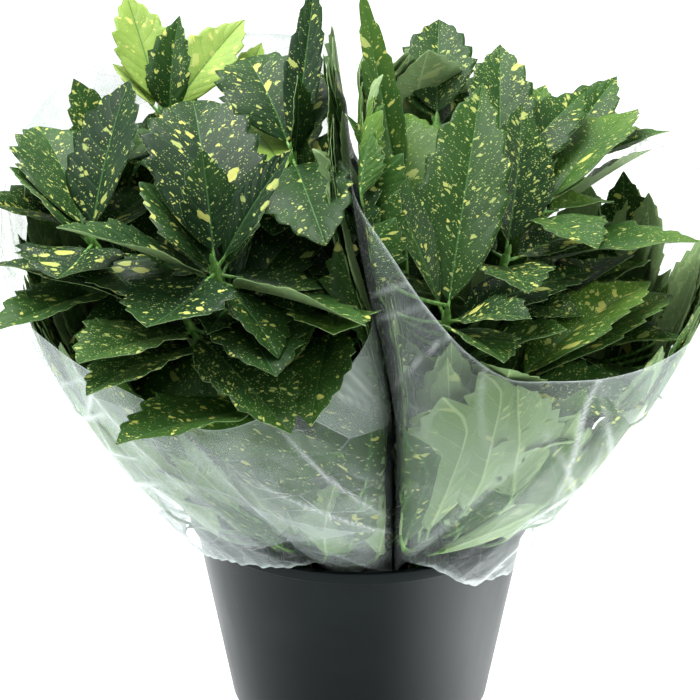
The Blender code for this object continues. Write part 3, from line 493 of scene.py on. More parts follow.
def spine(root, axes, length, curl, place):
    # the midrib: an arc through the blade's two ends, and the direction out of its upper face
    along, up = axes[0], axes[2]
    curl = np.where(np.abs(curl) < 1e-5, 1e-5, curl)
    angle = curl * (place - 0.5)
    run = (np.sin(angle) + np.sin(curl / 2)) / curl
    lift = (np.cos(angle) - np.cos(curl / 2)) / curl
    middle = run[..., None] * along + lift[..., None] * up
    centre = root + leaves["petiole"] * along + length[..., None] * middle
    return centre, np.sin(angle)[..., None] * along + np.cos(angle)[..., None] * up


def smallMoves(reaches, leans, sizes):
    # a leaf's tries: as listed, then turned and lifted by each reach, for each lean and size
    ways = ((0, 1), (0, -1), (1, 0), (-1, 0), (1, 1), (-1, 1), (1, -1), (-1, -1))
    moves = [(0, 0, 0, sizes[0])]
    moves += [(turn * reach, lift * reach, lean, size)
              for size in sizes for lean in leans for reach in reaches for turn, lift in ways]
    return np.array(moves, float)


listedMoves = smallMoves((3, 6, 9, 12, 16, 20, 25), (0, 15, -15, 30, -30), (1.0, 0.92, 0.84))
tierMoves = smallMoves((6, 12, 18), (0, 20, -20), (1.1, 0.95, 0.8))


def settleLeaf(leaf, root, moves, cloud):
    # the first of the leaf's moves whose tip, shoulders and first teeth lie on the solid's points
    *listed, bend, taper = leaf
    tries = np.array(listed) + np.zeros((len(moves), 5))
    tries[:, [0, 1, 4]] += moves[:, :3]
    tries[:, 2:4] *= moves[:, 3:]
    axes = leafAxes(tries[:, 0], tries[:, 1], tries[:, 4])
    curl = np.radians(bend)
    tips = spine(root, axes, tries[:, 2], curl, 1.0)[0]
    near = np.linalg.norm(tips[:, None] - cloud[None], axis=2).min(1) < leaves["matchWithin"]
    fold = np.radians(leaves["fold"])
    ends = ((leaves["shoulder"], 1.0, 0.0), (leaves["firstTooth"], leaves["toothOut"], leaves["wave"]))
    for k in np.flatnonzero(near):
        own = [axis[k] for axis in axes]
        good = True
        for place, scale, wave in ends:
            centre, out = spine(root, own, tries[k, 2], curl, place)
            reach = bladeShare(place, taper) * scale * tries[k, 3] / 2
            for side in (-1, 1):
                point = centre + side * np.cos(fold) * reach * own[1] + (np.sin(fold) * reach + wave) * out
                good = good and np.linalg.norm(cloud - point, axis=1).min() < leaves["matchWithin"]
        if good:
            return (*tries[k], bend, taper)
    return None


def wantedLeaves(letter, path, outward):
    # the shoot's own leaves, then its tiers: a leaf's drop, the leaf itself and its moves
    shoot = shoots[letter]
    for place, (drop, heading, rise, length, width, *rest) in enumerate(shoot["leaves"]):
        leaf = (heading, rise, length / 1000, width / 1000, *rest)
        yield place * leaves["stepDown"] + drop / 1000, leaf, listedMoves
    for drop, turns, rise, steeper, length, width in tiers:
        root = pointBelowTop(path, drop / 1000)
        bare = drop / 1000 < leaves["highDrop"] and shoot["top"][2] > leaves["highTop"]
        if bare or root[2] < leaves["lowest"]:
            continue
        for turn in turns:
            heading = outward + turn
            depth = np.sin(np.radians(heading))
            lift = rise + steeper * abs(depth)
            if root[2] > leaves["droopAbove"] and depth < 0.0:
                lift = rise + np.sqrt(-depth) * (leaves["droopRise"] - rise)
            leaf = (heading, lift, length / 1000, width / 1000, 0, leaves["tierBend"], leaves["tierTaper"])
            yield drop / 1000, leaf, tierMoves


# Leaf blades: a grid of rows from base to tip and columns from margin to margin, on both faces.
blades = {
    "fine": {
        "rows": (0.0, 0.02, 0.05, 0.09, 0.14, 0.19, 0.245, 0.30, 0.34, 0.36, 0.41, 0.46, 0.485, 0.53, 0.57,
                 0.61, 0.635, 0.68, 0.72, 0.76, 0.785, 0.83, 0.875, 0.895, 0.93, 0.96, 0.985, 1.0),
        "columns": (0.0, 0.035, 0.10, 0.22, 0.36, 0.52, 0.70, 0.86, 1.0),
    },
    "plain": {
        "rows": (0.0, 0.05, 0.14, 0.245, 0.34, 0.36, 0.46, 0.485, 0.61, 0.635, 0.76, 0.785, 0.875, 0.895,
                 0.955, 1.0),
        "columns": (0.0, 0.08, 0.30, 0.62, 1.0),
    },
    "margin": ((0.0, 1.0), (0.30, 1.0), (0.34, 1.035), (0.36, 0.975), (0.46, 1.065), (0.485, 0.90),
               (0.61, 1.07), (0.635, 0.87), (0.76, 1.08), (0.785, 0.85), (0.875, 1.08), (0.895, 0.86),
               (1.0, 1.0)),
    "thickness": 0.0004, "rib": 0.0008, "groove": 0.00025, "ribWidth": 0.0011, "narrowest": 0.0004,
    "wave": 0.0014, "puff": 0.30, "slide": 0.012, "uneven": 0.03,
}


def gridFaces(rows, columns, start=0, flip=False):
    # quads of a grid of points kept row by row
    i, j = np.meshgrid(np.arange(rows - 1), np.arange(columns - 1), indexing="ij")
    a = (start + i * columns + j).ravel()
    quads = np.stack([a, a + 1, a + columns + 1, a + columns], 1)
    return quads[:, ::-1] if flip else quads


def bladeGrid(detail, width, taper, rng):
    # Places along the blade and shares across it, and the signed reach from the midrib: the half-width
    # times the share, with teeth that point forward. The places slide a little along each side.
    rows = np.array(blades[detail]["rows"])
    half = np.array(blades[detail]["columns"])
    s, t = rows[:, None], np.concatenate([-half[:0:-1], half])[None, :]
    out = np.abs(t)
    place = s + blades["slide"] * rng.uniform(-1, 1) * np.sign(t) * out * np.sin(np.pi * s)
    place = np.clip(place, 0.0, 1.0)
    knots = np.array(blades["margin"])
    margin = 1.0 + (np.interp(s, knots[:, 0], knots[:, 1]) - 1.0) * out ** 1.5
    margin = margin * (1.0 + blades["uneven"] * np.sin(2 * np.pi * (2.3 * s + rng.uniform())) * np.sign(t))
    reach = np.maximum(bladeShare(np.clip(s, 0.0001, 0.9999), taper) * width / 2, blades["narrowest"])
    return s, t, place, np.sign(t) * reach * margin * out


def bladeLift(s, t, reach, width, rng):
    # how far a blade's point stands above its midrib: the fold times the reach, puffed between midrib
    # and margin, and a wave that grows with the square of the share across
    out = np.abs(t)
    ripple = blades["wave"] * width / 0.06
    phase = np.where(t < 0, rng.uniform(), rng.uniform())
    wave = np.sin(2 * np.pi * (rng.uniform(1.6, 2.6) * s + phase)) * out ** 2
    wave = wave * np.sqrt(np.sin(np.pi * s) + 1e-9)
    fold = np.sin(np.radians(leaves["fold"])) * np.abs(reach) * (1.0 + blades["puff"] * (1.0 - out))
    return fold + ripple * wave


def bladeSolid(middle, s, t, place, reach, length, tone):
    # both faces of a blade's middle sheet, with a raised rib below and a groove above, and its walls
    normal = unit(np.cross(np.gradient(middle, axis=0), np.gradient(middle, axis=1)))
    ridge = np.exp(-(reach / blades["ribWidth"]) ** 2)
    rise = blades["thickness"] / 2 - blades["groove"] * ridge * (1 - s)
    sink = blades["thickness"] / 2 + blades["rib"] * ridge * (1.0 - 0.8 * s)
    topSide, underSide = middle + normal * rise[..., None], middle - normal * sink[..., None]
    rows, columns = middle.shape[:2]
    count = rows * columns
    metres = np.stack([place * length, reach], -1).reshape(-1, 2)
    shares = np.stack([place, t + 0 * s], -1).reshape(-1, 2)
    edge = np.concatenate([
        np.arange(columns), np.arange(1, rows) * columns + columns - 1,
        np.arange(count - 2, count - columns - 1, -1), np.arange(rows - 2, 0, -1) * columns,
    ])
    after = np.roll(edge, -1)
    walls = np.stack([edge, after, after + count, edge + count], 1)
    quads = (rows - 1) * (columns - 1)
    return {
        "points": np.vstack([topSide.reshape(-1, 3), underSide.reshape(-1, 3)]),
        "faces": np.vstack([gridFaces(rows, columns, 0, True), gridFaces(rows, columns, count), walls]),
        "slots": np.concatenate([np.zeros(quads), np.ones(quads + len(walls))]),
        "metres": np.vstack([metres, metres]), "place": np.vstack([shares, shares]),
        "tone": np.tile(np.array(tone), (2 * count, 1)),
    }


def bladeBlock(leaf, root, tone, rng, detail):
    # a blade in the air: the midrib's arc, plus the reach across, plus the lift
    length, width, bend, taper = leaf[2], leaf[3], leaf[5], leaf[6]
    axes = axesOfLeaf(leaf)
    s, t, place, reach = bladeGrid(detail, width, taper, rng)
    centre, up = spine(root, axes, np.full(place.shape, length), np.radians(bend), place)
    lift = bladeLift(s, t, reach, width, rng)
    across = np.cos(np.radians(leaves["fold"])) * reach
    middle = centre + across[..., None] * axes[1] + lift[..., None] * up
    return bladeSolid(middle, s, t, place, reach, length, tone)


def tubeBlock(path, radii, sides, slot=2):
    # rings of points round a path, with a fan of quads at each end, from its centre to two edges at once
    path = np.asarray(path)
    along = unit(np.gradient(path, axis=0))
    side = np.cross(along, [0.31, 0.95, 0.05])
    side = unit(side - (side * along).sum(1, keepdims=True) * along)
    other = np.cross(along, side)
    turn = 2 * np.pi * np.arange(sides) / sides
    ring = np.cos(turn)[None, :, None] * side[:, None] + np.sin(turn)[None, :, None] * other[:, None]
    points = path[:, None] + np.asarray(radii)[:, None, None] * ring
    count, k = len(path), np.arange(sides)
    rows = np.arange(count - 1)[:, None] * sides
    a, b = (rows + k).ravel(), (rows + (k + 1) % sides).ravel()
    even = np.arange(0, sides, 2)
    one, two, base = (even + 1) % sides, (even + 2) % sides, (count - 1) * sides
    centre = np.full(len(even), count * sides)
    faces = np.vstack([
        np.stack([a, b, b + sides, a + sides], 1), np.stack([centre, two, one, even], 1),
        np.stack([centre + 1, base + even, base + one, base + two], 1),
    ])
    allPoints = np.vstack([points.reshape(-1, 3), path[:1], path[-1:]])
    total = len(allPoints)
    return {
        "points": allPoints, "faces": faces, "slots": np.full(len(faces), slot),
        "metres": np.zeros((total, 2)), "place": np.zeros((total, 2)), "tone": np.zeros((total, 4)),
    }


def smoothPath(points, count):
    # a Catmull-Rom curve through the points, evenly sampled in its own parameter
    points = np.asarray(points)
    padded = np.vstack([2 * points[0] - points[1], points, 2 * points[-1] - points[-2]])
    place = np.linspace(0, len(points) - 1, count)
    k = np.minimum(place.astype(int), len(points) - 2)
    f = (place - k)[:, None]
    a, b, c, d = padded[k], padded[k + 1], padded[k + 2], padded[k + 3]
    square, cube = 2 * a - 5 * b + 4 * c - d, 3 * b - a - 3 * c + d
    return 0.5 * (2 * b + (c - a) * f + square * f ** 2 + cube * f ** 3)


def stemBlock(path, roots):
    # the stem's axis with a swelling at each leaf and a pointed bud on top
    straight = np.linspace(path[0], path[1], 8)[:-1]
    curve = np.vstack([straight, smoothPath(path[1:-1], stems["rings"])])
    bud = path[-2] + (path[-1] - path[-2]) * np.array([0.12, 0.3, 0.5, 0.7, 0.85, 1.0])[:, None]
    heights = curve[:, 2]
    share = np.clip((heights - stems["tieHeight"]) / (path[-2][2] - stems["tieHeight"]), 0, 1)
    radii = stems["footRadius"] + share * (stems["topRadius"] - stems["footRadius"])
    for root in roots:
        apart = np.linalg.norm(curve - root, axis=1)
        radii = radii + stems["nodeSwell"] * np.exp(-(apart / stems["nodeLength"]) ** 2) * share
    radii = np.minimum(radii, stems["footRadius"])
    budRadii = stems["topRadius"] * np.array([1.15, 1.3, 1.2, 0.85, 0.5, 0.12])
    return tubeBlock(np.vstack([curve, bud]), np.concatenate([radii, budRadii]), stems["sides"])


def petioleBlock(leaf, root, stalk):
    # a stalk from the stem's axis to a little way into the blade, thinner as it goes
    axes = axesOfLeaf(leaf)
    along, up = axes[0], axes[2]
    share = np.linspace(0, 1, leaves["stalkRings"])[:, None]
    path = root + along * (stalk + leaves["petiole"] + leaves["stalkIn"]) * share
    path = path - up * leaves["stalkSag"] * np.sin(np.pi * share) - up * leaves["stalkSink"] * share
    return tubeBlock(path, np.linspace(*leaves["stalkRadii"], leaves["stalkRings"]), leaves["stalkSides"])


def makeMesh(name, blocks, materials):
    # one mesh of all blocks, with both maps and the tone as a colour on its points
    starts = np.cumsum([0] + [len(block["points"]) for block in blocks])
    points = np.vstack([block["points"] for block in blocks])
    faces = np.vstack([block["faces"] + start for block, start in zip(blocks, starts)])
    mesh = bpy.data.meshes.new(name)
    mesh.from_pydata(points.tolist(), [], faces.tolist())
    corners = np.zeros(len(mesh.loops), int)
    mesh.loops.foreach_get("vertex_index", corners)
    for label, key in (("bladeMetres", "metres"), ("bladePlace", "place")):
        layer = mesh.uv_layers.new(name=label)
        layer.data.foreach_set("uv", np.vstack([block[key] for block in blocks])[corners].ravel())
    tones = mesh.color_attributes.new(name="leafTone", type="FLOAT_COLOR", domain="POINT")
    tones.data.foreach_set("color", np.vstack([block["tone"] for block in blocks]).ravel())
    for material in materials:
        mesh.materials.append(material)
    slots = np.concatenate([block["slots"] for block in blocks])
    mesh.polygons.foreach_set("material_index", slots.astype(int))
    mesh.polygons.foreach_set("use_smooth", np.ones(len(faces), bool))
    mesh.update()
    piece = bpy.data.objects.new(name, mesh)
    bpy.context.scene.collection.objects.link(piece)
    return piece


# Inner leaves: pairs down each stem, between the solids' leaves, where they clear everything else.
# Rises are in degrees: the first number, plus the second by how far the leaf heads back or forward.
inner = {
    "firstDrop": 0.014, "step": 0.0125, "levels": 26, "lowest": 0.232, "length": (0.086, 0.118),
    "broad": (0.54, 0.66), "bend": (8, 24), "taper": (0.1, 0.45), "stalk": (0.0, 0.026), "tries": 18,
    "guard": 0.0009, "filmGuard": 0.0012, "stemGuard": 0.0006, "petioleWidth": 0.0012,
    "nearSeam": 0.075, "turns": (0, 180, 90, -90), "turnFrom": 25, "turnStep": 45, "fence": 0.045,
    "backRise": (32, 24), "droop": (20, 34), "droopFrom": 0.375, "filmRise": (44, 20),
    "seamRise": (25, 75), "seamRoll": (45, 85), "sway": (8, 45), "tilt": (6, 14), "roll": 14,
    # the shade cap on the next line holds inner leaves to dark greens, as painted shade deep in the bunch
    "shrink": 0.35, "paintedShadeCap": 0.16,
}
coarsePlaces = np.array([0.08, 0.20, 0.34, 0.46, 0.61, 0.76, 0.89, 1.0])
coarseSides = np.array([-1.0, 0.0, 1.0])
coarseFaces = gridFaces(len(coarsePlaces) + 1, 3)
pressedFaces = gridFaces(len(coarsePlaces), 3)
room = {"owners": [], "lows": [], "highs": [], "trees": []}


def addObstacle(owner, points, faces):
    room["owners"].append(owner)
    room["lows"].append(points.min(0))
    room["highs"].append(points.max(0))
    room["trees"].append(BVHTree.FromPolygons(points.tolist(), faces.tolist()))


def bladeRoot(leaf, root, stalk):
    # where the blade's own petiole starts, once the stalk is lengthened
    return root + stalk * axesOfLeaf(leaf)[0]


def coarseReach(s, width, taper):
    return leaves["toothOut"] * bladeShare(np.minimum(s, 0.9999), taper) * width / 2


def threeSheets(points, up):
    # a sheet of points, and its copies a guard above and below it
    return [(points + shift * up).reshape(-1, 3) for shift in (0.0, inner["guard"], -inner["guard"])]


def coarseSheets(leaf, root, stalk):
    # the stalk's start, then margin, midrib and margin at eight places
    axes = axesOfLeaf(leaf)
    length, width, bend, taper = leaf[2], leaf[3], leaf[5], leaf[6]
    s = coarsePlaces[:, None] + 0 * coarseSides
    centre, up = spine(root + stalk * axes[0], axes, np.full(s.shape, length), np.radians(bend), s)
    reach = coarseReach(s, width, taper) * np.abs(coarseSides)
    fold = np.radians(leaves["fold"])
    across, lift = coarseSides * np.cos(fold) * reach, np.sin(fold) * reach
    points = centre + across[..., None] * axes[1] + lift[..., None] * up
    foot = root + leaves["petiole"] / 2 * axes[0] + coarseSides[:, None] * inner["petioleWidth"] * axes[1]
    return threeSheets(np.concatenate([foot[None], points]), np.concatenate([up[:1], up]))


def hasRoom(letter, points, faces):
    low, high = points.min(0), points.max(0)
    meets = np.all((np.array(room["lows"]) <= high) & (np.array(room["highs"]) >= low), axis=1)
    tree = BVHTree.FromPolygons(points.tolist(), faces.tolist())
    near = [k for k in np.flatnonzero(meets) if room["owners"][k] != letter]
    return not any(room["trees"][k].overlap(tree) for k in near)


def addGuards(sheets, faces):
    addObstacle("", np.vstack(sheets[1:]), np.vstack([faces, faces + len(sheets[1])]))


def between(ends, share):
    return ends[0] + ends[1] * share


def innerLeaf(rng, heading, root, side, attempt):
    # Steep towards the back, drooping towards the open front, nearly upright behind the film, and on
    # edge next to the seam. Each further attempt turns, lifts and shrinks the leaf a little more.
    loose = attempt / inner["tries"]
    heading = heading + rng.normal(0, between(inner["sway"], loose))
    depth = np.sin(np.radians(heading))
    roll = rng.normal(0, inner["roll"])
    if depth > 0:
        rise = between(inner["backRise"], depth)
    elif root[2] > inner["droopFrom"]:
        rise = between(inner["droop"], -np.sqrt(-depth))
    else:
        rise = between(inner["filmRise"], -depth)
    if side * (seamX(root[2], root[1]) - root[0]) < inner["nearSeam"] and attempt % 2:
        roll = rng.choice([-1, 1]) * rng.uniform(*inner["seamRoll"])
        rise = rng.uniform(*inner["seamRise"])
    rise = rise + rng.normal(0, between(inner["tilt"], loose))
    length = rng.uniform(*inner["length"]) * (1 - inner["shrink"] * loose)
    width = length * rng.uniform(*inner["broad"])
    stalk = rng.uniform(*inner["stalk"]) * (root[2] < leaves["droopAbove"])
    bend, taper = rng.uniform(*inner["bend"]), rng.uniform(*inner["taper"])
    return (heading, rise, length, width, roll, bend, taper), stalk


# Leaves that stand pressed against the inside of the film. The listed ones are those that show through
# its front: bearing (deg), base height (mm), lean (deg), length, width (mm), and 1 for the underside out.
pressed = {
    "length": (0.088, 0.128), "broad": (0.42, 0.58), "depth": (0.0030, 0.0130), "lean": 12.0, "fold": 3.0,
    "tipIn": 0.004, "slope": 0.90, "spacing": 0.024, "tries": 14, "arcShare": 0.4, "stalkDrop": 0.026,
    "bases": (0.272, 0.312, 0.352, 0.392), "highBases": (0.272, 0.312, 0.352, 0.392, 0.432, 0.472, 0.512),
    "overFront": -0.004, "overSeam": 0.045, "upright": 24.0, "seamWide": 0.020, "backFrom": -0.085,
    "nextRow": 0.018, "smaller": 0.72, "listedTaper": 0.35, "taper": (0.1, 0.5), "shrink": 0.3,
    "pale": 0.55, "paleAbove": 0.12, "paleBelow": 0.33, "firstDepth": 0.0024, "deeper": 0.0020,
    # the shade cap on the next line holds pressed leaves to darker greens, as painted shade behind the film
    "depths": 8, "paintedShadeCap": 0.40, "waveShare": 0.3, "pull": 0.022, "intoBlade": 0.006,
    "stalkRadii": (0.0017, 0.0010), "stalkRings": 12, "aside": 0.01, "above": 0.02,
    "left": ((-64.5, 336, 22, 100, 44, 0), (-62.5, 361, -79, 98, 56, 0), (-109, 280, -16, 78, 40, 0),
             (-94.5, 276, 42, 92, 38, 1), (-91, 313, 27, 96, 48, 0), (-108, 357, -19, 80, 44, 0),
             (-82, 288, 41, 76, 30, 0), (-108, 318, 1, 84, 44, 1)),
    "right": ((-83, 299, -23, 128, 40, 1), (-76.5, 315, -28, 138, 42, 1), (-69, 329, -37, 122, 52, 1),
              (-70.5, 276, 48, 100, 34, 1), (-72, 296, 2, 86, 44, 0), (-44, 293, -43, 128, 46, 0),
              (-86.5, 287, -24, 112, 34, 0)),
}


def filmArcs(sleeve):
    # bearings over three turns, and the distance round the film to each
    bearings = np.arange(-540.0, 541.0, 2.0)
    points = sleeveSurface(sleeve, bearings, np.full(bearings.shape, pressed["arcShare"]))
    steps = np.linalg.norm(np.diff(points, axis=0), axis=1)
    arcs = np.concatenate([[0.0], np.cumsum(steps)])
    return bearings, arcs - np.interp(-180.0, bearings, arcs)


def layOnFilm(sleeve, arcs, spot, run, across, lift):
    # A flat outline laid on the inside of the film: its distance round and up the film gives the film's
    # own point, which moves in by the depth, by the lift, and by the square of the run towards the tip.
    lean = np.radians(spot["lean"])
    around = spot["place"] + spot["flip"] * across * np.cos(lean) + run * np.sin(lean)
    height = spot["base"] + pressed["slope"] * (run * np.cos(lean) - spot["flip"] * across * np.sin(lean))
    bearings = np.interp(around, arcs[1], arcs[0])
    hem, top = sleeveEnds(sleeve, (bearings + 180.0) % 360.0 - 180.0)[:2]
    share = (height - hem) / (top - hem)
    point = sleeveSurface(sleeve, bearings, share)
    along = sleeveSurface(sleeve, bearings + 1.0, share) - sleeveSurface(sleeve, bearings - 1.0, share)
    inward = unit(np.cross(sleeveSurface(sleeve, bearings, share + 0.02) - point, along))
    depth = spot["depth"] + lift + pressed["tipIn"] * (run / spot["length"]) ** 2
    return point + depth[..., None] * inward, inward


def coarsePressed(sleeve, arcs, spot):
    s = coarsePlaces[:, None] + 0 * coarseSides
    reach = coarseReach(s, spot["width"], spot["taper"]) * coarseSides
    return threeSheets(*layOnFilm(sleeve, arcs, spot, s * spot["length"], reach, 0.0 * s))


def stalkPath(shoot, base, up):
    # from the shoot's stem, a little below the blade's base, out and up into the base
    height = max(base[2] - pressed["stalkDrop"], inner["lowest"])
    axis = shoot["path"]
    start = np.array([np.interp(height, axis[:, 2], axis[:, k]) for k in range(3)])
    pull = base - pressed["pull"] * up
    f = np.linspace(0, 1, pressed["stalkRings"])[:, None]
    return (1 - f) ** 2 * start + 2 * f * (1 - f) * pull + f ** 2 * (base + pressed["intoBlade"] * up)


def keepPressed(sleeve, arcs, near, spot):
    # a pressed leaf is kept where it clears everything; it hangs on the nearest stem
    sheets = coarsePressed(sleeve, arcs, spot)
    if not hasRoom("", sheets[0], pressedFaces):
        return False
    root = sheets[0][1]
    up = unit(sheets[0][4] - root)
    base = root - coarsePlaces[0] * spot["length"] * up
    shoot = min(near, key=lambda shoot: np.linalg.norm(stalkPath(shoot, base, up)[0] - base))
    shoot["pressed"].append((sleeve, arcs, spot, stalkPath(shoot, base, up)))
    addGuards(sheets, pressedFaces)
    return True


def addListedLeaf(side, bearing, base, lean, length, width, pale):
    # As near the film as it fits. A side is a sleeve, the distances round it, and the shoots in it.
    spot = {
        "place": np.interp(bearing, *side[1]), "base": base / 1000, "lean": lean,
        "length": length / 1000, "width": width / 1000, "taper": pressed["listedTaper"],
        "flip": 1 if pale else -1,
    }
    for step in range(pressed["depths"]):
        spot["depth"] = pressed["firstDepth"] + step * pressed["deeper"]
        if keepPressed(*side, spot):
            return True
    return False


def addLeafAt(side, rng, base, scale, place):
    # the first leaf that fits; the high rows are there only next to the seam
    sleeve, arcs = side[:2]
    bearing = np.interp(place, arcs[1], arcs[0])
    top = sleeveEnds(sleeve, bearing)[1]
    across, away, height = sleeveSurface(sleeve, bearing, 0.6)
    atSeam = abs(across - seamX(height, away)) < pressed["seamWide"] and away > pressed["backFrom"]
    if base not in pressed["bases"] and not atSeam:
        return False
    over = pressed["overSeam"] if atSeam else pressed["overFront"]
    pale = pressed["pale"] if base < pressed["paleBelow"] else pressed["paleAbove"]
    upright = -sleeve["seamSide"] * pressed["upright"] * np.sin(np.radians(bearing))
    for attempt in range(pressed["tries"]):
        loose = pressed["shrink"] * attempt / pressed["tries"]
        length = scale * rng.uniform(*pressed["length"]) * (1 - loose)
        spot = {
            "place": place + rng.uniform(-pressed["aside"], pressed["aside"]),
            "base": base + rng.uniform(0, pressed["above"]),
            "lean": rng.normal(upright, pressed["lean"]), "length": length,
            "width": length * rng.uniform(*pressed["broad"]),
            "taper": rng.uniform(*pressed["taper"]), "depth": rng.uniform(*pressed["depth"]),
            "flip": 1 if rng.uniform() < pale else -1,
        }
        fits = spot["base"] + pressed["slope"] * length <= top + over
        if fits and keepPressed(*side, spot):
            return True
    return False


def addPressedLeaves(gathered):
    # on each film the listed leaves, then rows of places round it, and smaller leaves between the rows
    rng = np.random.default_rng(5)
    listed, count = 0, 0
    rows = [(base, 1.0) for base in pressed["highBases"]]
    rows += [(base + pressed["nextRow"], pressed["smaller"]) for base in pressed["highBases"]]
    for name, sleeve in sleeves.items():
        letters = bunches[name]["middle"] + bunches[name]["ring"]
        near = [shoot for letter, shoot in gathered.items() if letter in letters]
        arcs = filmArcs(sleeve)
        side = (sleeve, arcs, near)
        listed += sum(addListedLeaf(side, *leaf) for leaf in pressed[name])
        around = np.interp(180.0, *arcs)
        for base, scale in rows:
            for place in np.arange(rng.uniform(0, pressed["spacing"]), around, pressed["spacing"]):
                count += addLeafAt(side, rng, base, scale, place)
    print("pressed leaves added:", listed, "listed and", count, "more")


def pressedBlocks(sleeve, arcs, spot, stalk, tone, rng):
    # the blade laid on the film, and its stalk
    s, t, place, reach = bladeGrid("plain", spot["width"], spot["taper"], rng)
    fold = np.tan(np.radians(pressed["fold"])) * np.abs(reach)
    lift = fold + pressed["waveShare"] * bladeLift(s, t, reach, spot["width"], rng)
    middle = layOnFilm(sleeve, arcs, spot, place * spot["length"], reach, lift)[0]
    blade = bladeSolid(middle, s, t, place, reach, spot["length"], tone)
    return [blade, tubeBlock(stalk, np.linspace(*pressed["stalkRadii"], len(stalk)), leaves["stalkSides"])]


def gatherShoots():
    # every shoot's path and the leaves that lie on its solid
    gathered = {}
    for name, bunch in bunches.items():
        letters = bunch["middle"] + bunch["ring"]
        centre = np.mean([shoots[letter]["top"][:2] for letter in letters], axis=0)
        for letter in letters:
            path = stemPath(bunch, letter)
            outward = np.degrees(np.arctan2(path[-2][1] - centre[1], path[-2][0] - centre[0]))
            cloud = meshPoints(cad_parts["leafy_stem_" + letter].data)
            cloud = np.unique(cloud.round(5), axis=0).astype(float)
            placed = []
            for drop, leaf, moves in wantedLeaves(letter, path, outward):
                root = pointBelowTop(path, drop)
                found = settleLeaf(leaf, root, moves, cloud)
                if found is not None:
                    placed.append((drop, found, root, 0.0))
            gathered[letter] = {
                "path": path, "leaves": placed, "inner": [], "pressed": [], "outward": outward,
                "side": sleeves[name]["seamSide"],
            }
    return gathered


def addObstacles(gathered):
    # stems, the solids' leaves, the bucket, both films, and a fence above each film's front edge
    for letter, shoot in gathered.items():
        radii = np.full(len(shoot["path"]), stems["footRadius"] + inner["stemGuard"])
        tube = tubeBlock(shoot["path"], radii, 6)
        addObstacle(letter, tube["points"], tube["faces"])
        for place in shoot["leaves"]:
            addGuards(coarseSheets(*place[1:]), coarseFaces)
    for sleeve in sleeves.values():
        points = sleevePoints(sleeve, 96, 20)
        middle = points.mean(0, keepdims=True) * [1.0, 1.0, 0.0] + points * [0.0, 0.0, 1.0]
        points = points - inner["filmGuard"] * unit(points - middle)
        addObstacle("", np.vstack([points, points[:1]]).reshape(-1, 3), gridFaces(97, 21))
        edge = points[2:46, -1:]
        fence = np.concatenate([edge, edge + [0.0, -0.01, inner["fence"]]], axis=1)
        addObstacle("", fence.reshape(-1, 3), gridFaces(len(fence), 2))
    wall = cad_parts["bucket"].data
    wall.calc_loop_triangles()
    triangles = np.zeros(len(wall.loop_triangles) * 3, np.int32)
    wall.loop_triangles.foreach_get("vertices", triangles)
    addObstacle("", meshPoints(wall).astype(float), triangles.reshape(-1, 3))


def addInnerLeaves(gathered):
    # the highest places first, on all stems in turn
    rng = np.random.default_rng(7)
    count = 0
    for level in range(inner["levels"]):
        drop = inner["firstDrop"] + inner["step"] * level
        for letter, shoot in gathered.items():
            root = pointBelowTop(shoot["path"], drop)
            if root[2] < inner["lowest"]:
                continue
            for turn in inner["turns"]:
                heading = shoot["outward"] + inner["turnFrom"] + inner["turnStep"] * (level % 2) + turn
                for attempt in range(inner["tries"]):
                    leaf, stalk = innerLeaf(rng, heading, root, shoot["side"], attempt)
                    sheets = coarseSheets(leaf, root, stalk)
                    if hasRoom(letter, sheets[0], coarseFaces):
                        shoot["inner"].append((leaf, root, stalk))
                        addGuards(sheets, coarseFaces)
                        count += 1
                        break
    print("inner leaves added:", count)


def leafTone(letter, rng, most):
    # a leaf's own random number, spots, blotches and shade, which is at most the one given
    spots, blotches, shade = shoots[letter]["tone"] + rng.uniform(-0.10, 0.10, 3)
    return rng.uniform(), np.clip(spots, 0, 1), np.clip(blotches, 0, 1), min(shade, most)


def makeShoots():
    gathered = gatherShoots()
    addObstacles(gathered)
    addPressedLeaves(gathered)
    addInnerLeaves(gathered)
    total = 0
    for letter, shoot in gathered.items():
        rng = np.random.default_rng(100 + ord(letter))
        blocks = [stemBlock(shoot["path"], [place[2] for place in shoot["leaves"]])]
        for drop, leaf, root, stalk in shoot["leaves"]:
            tone = leafTone(letter, rng, leaves["lowShade"] if drop > leaves["lowFrom"] else 1.0)
            blocks += [bladeBlock(leaf, root, tone, rng, "fine"), petioleBlock(leaf, root, stalk)]
        # inner and pressed leaves are held to darker greens: painted shade inside the bunch
        for leaf, root, stalk in shoot["inner"]:
            tone = leafTone(letter, rng, inner["paintedShadeCap"])
            blocks.append(bladeBlock(leaf, bladeRoot(leaf, root, stalk), tone, rng, "plain"))
            blocks.append(petioleBlock(leaf, root, stalk))
        for place in shoot["pressed"]:
            blocks += pressedBlocks(*place, leafTone(letter, rng, pressed["paintedShadeCap"]), rng)
        piece = makeMesh("laurel_" + letter, blocks, [upperMaterial, underMaterial, stemMaterial])
        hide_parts("leafy_stem_" + letter)
        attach(piece, "root")
        total += len(shoot["leaves"]) + len(shoot["inner"]) + len(shoot["pressed"])
    print("shoots made with", total, "leaves")


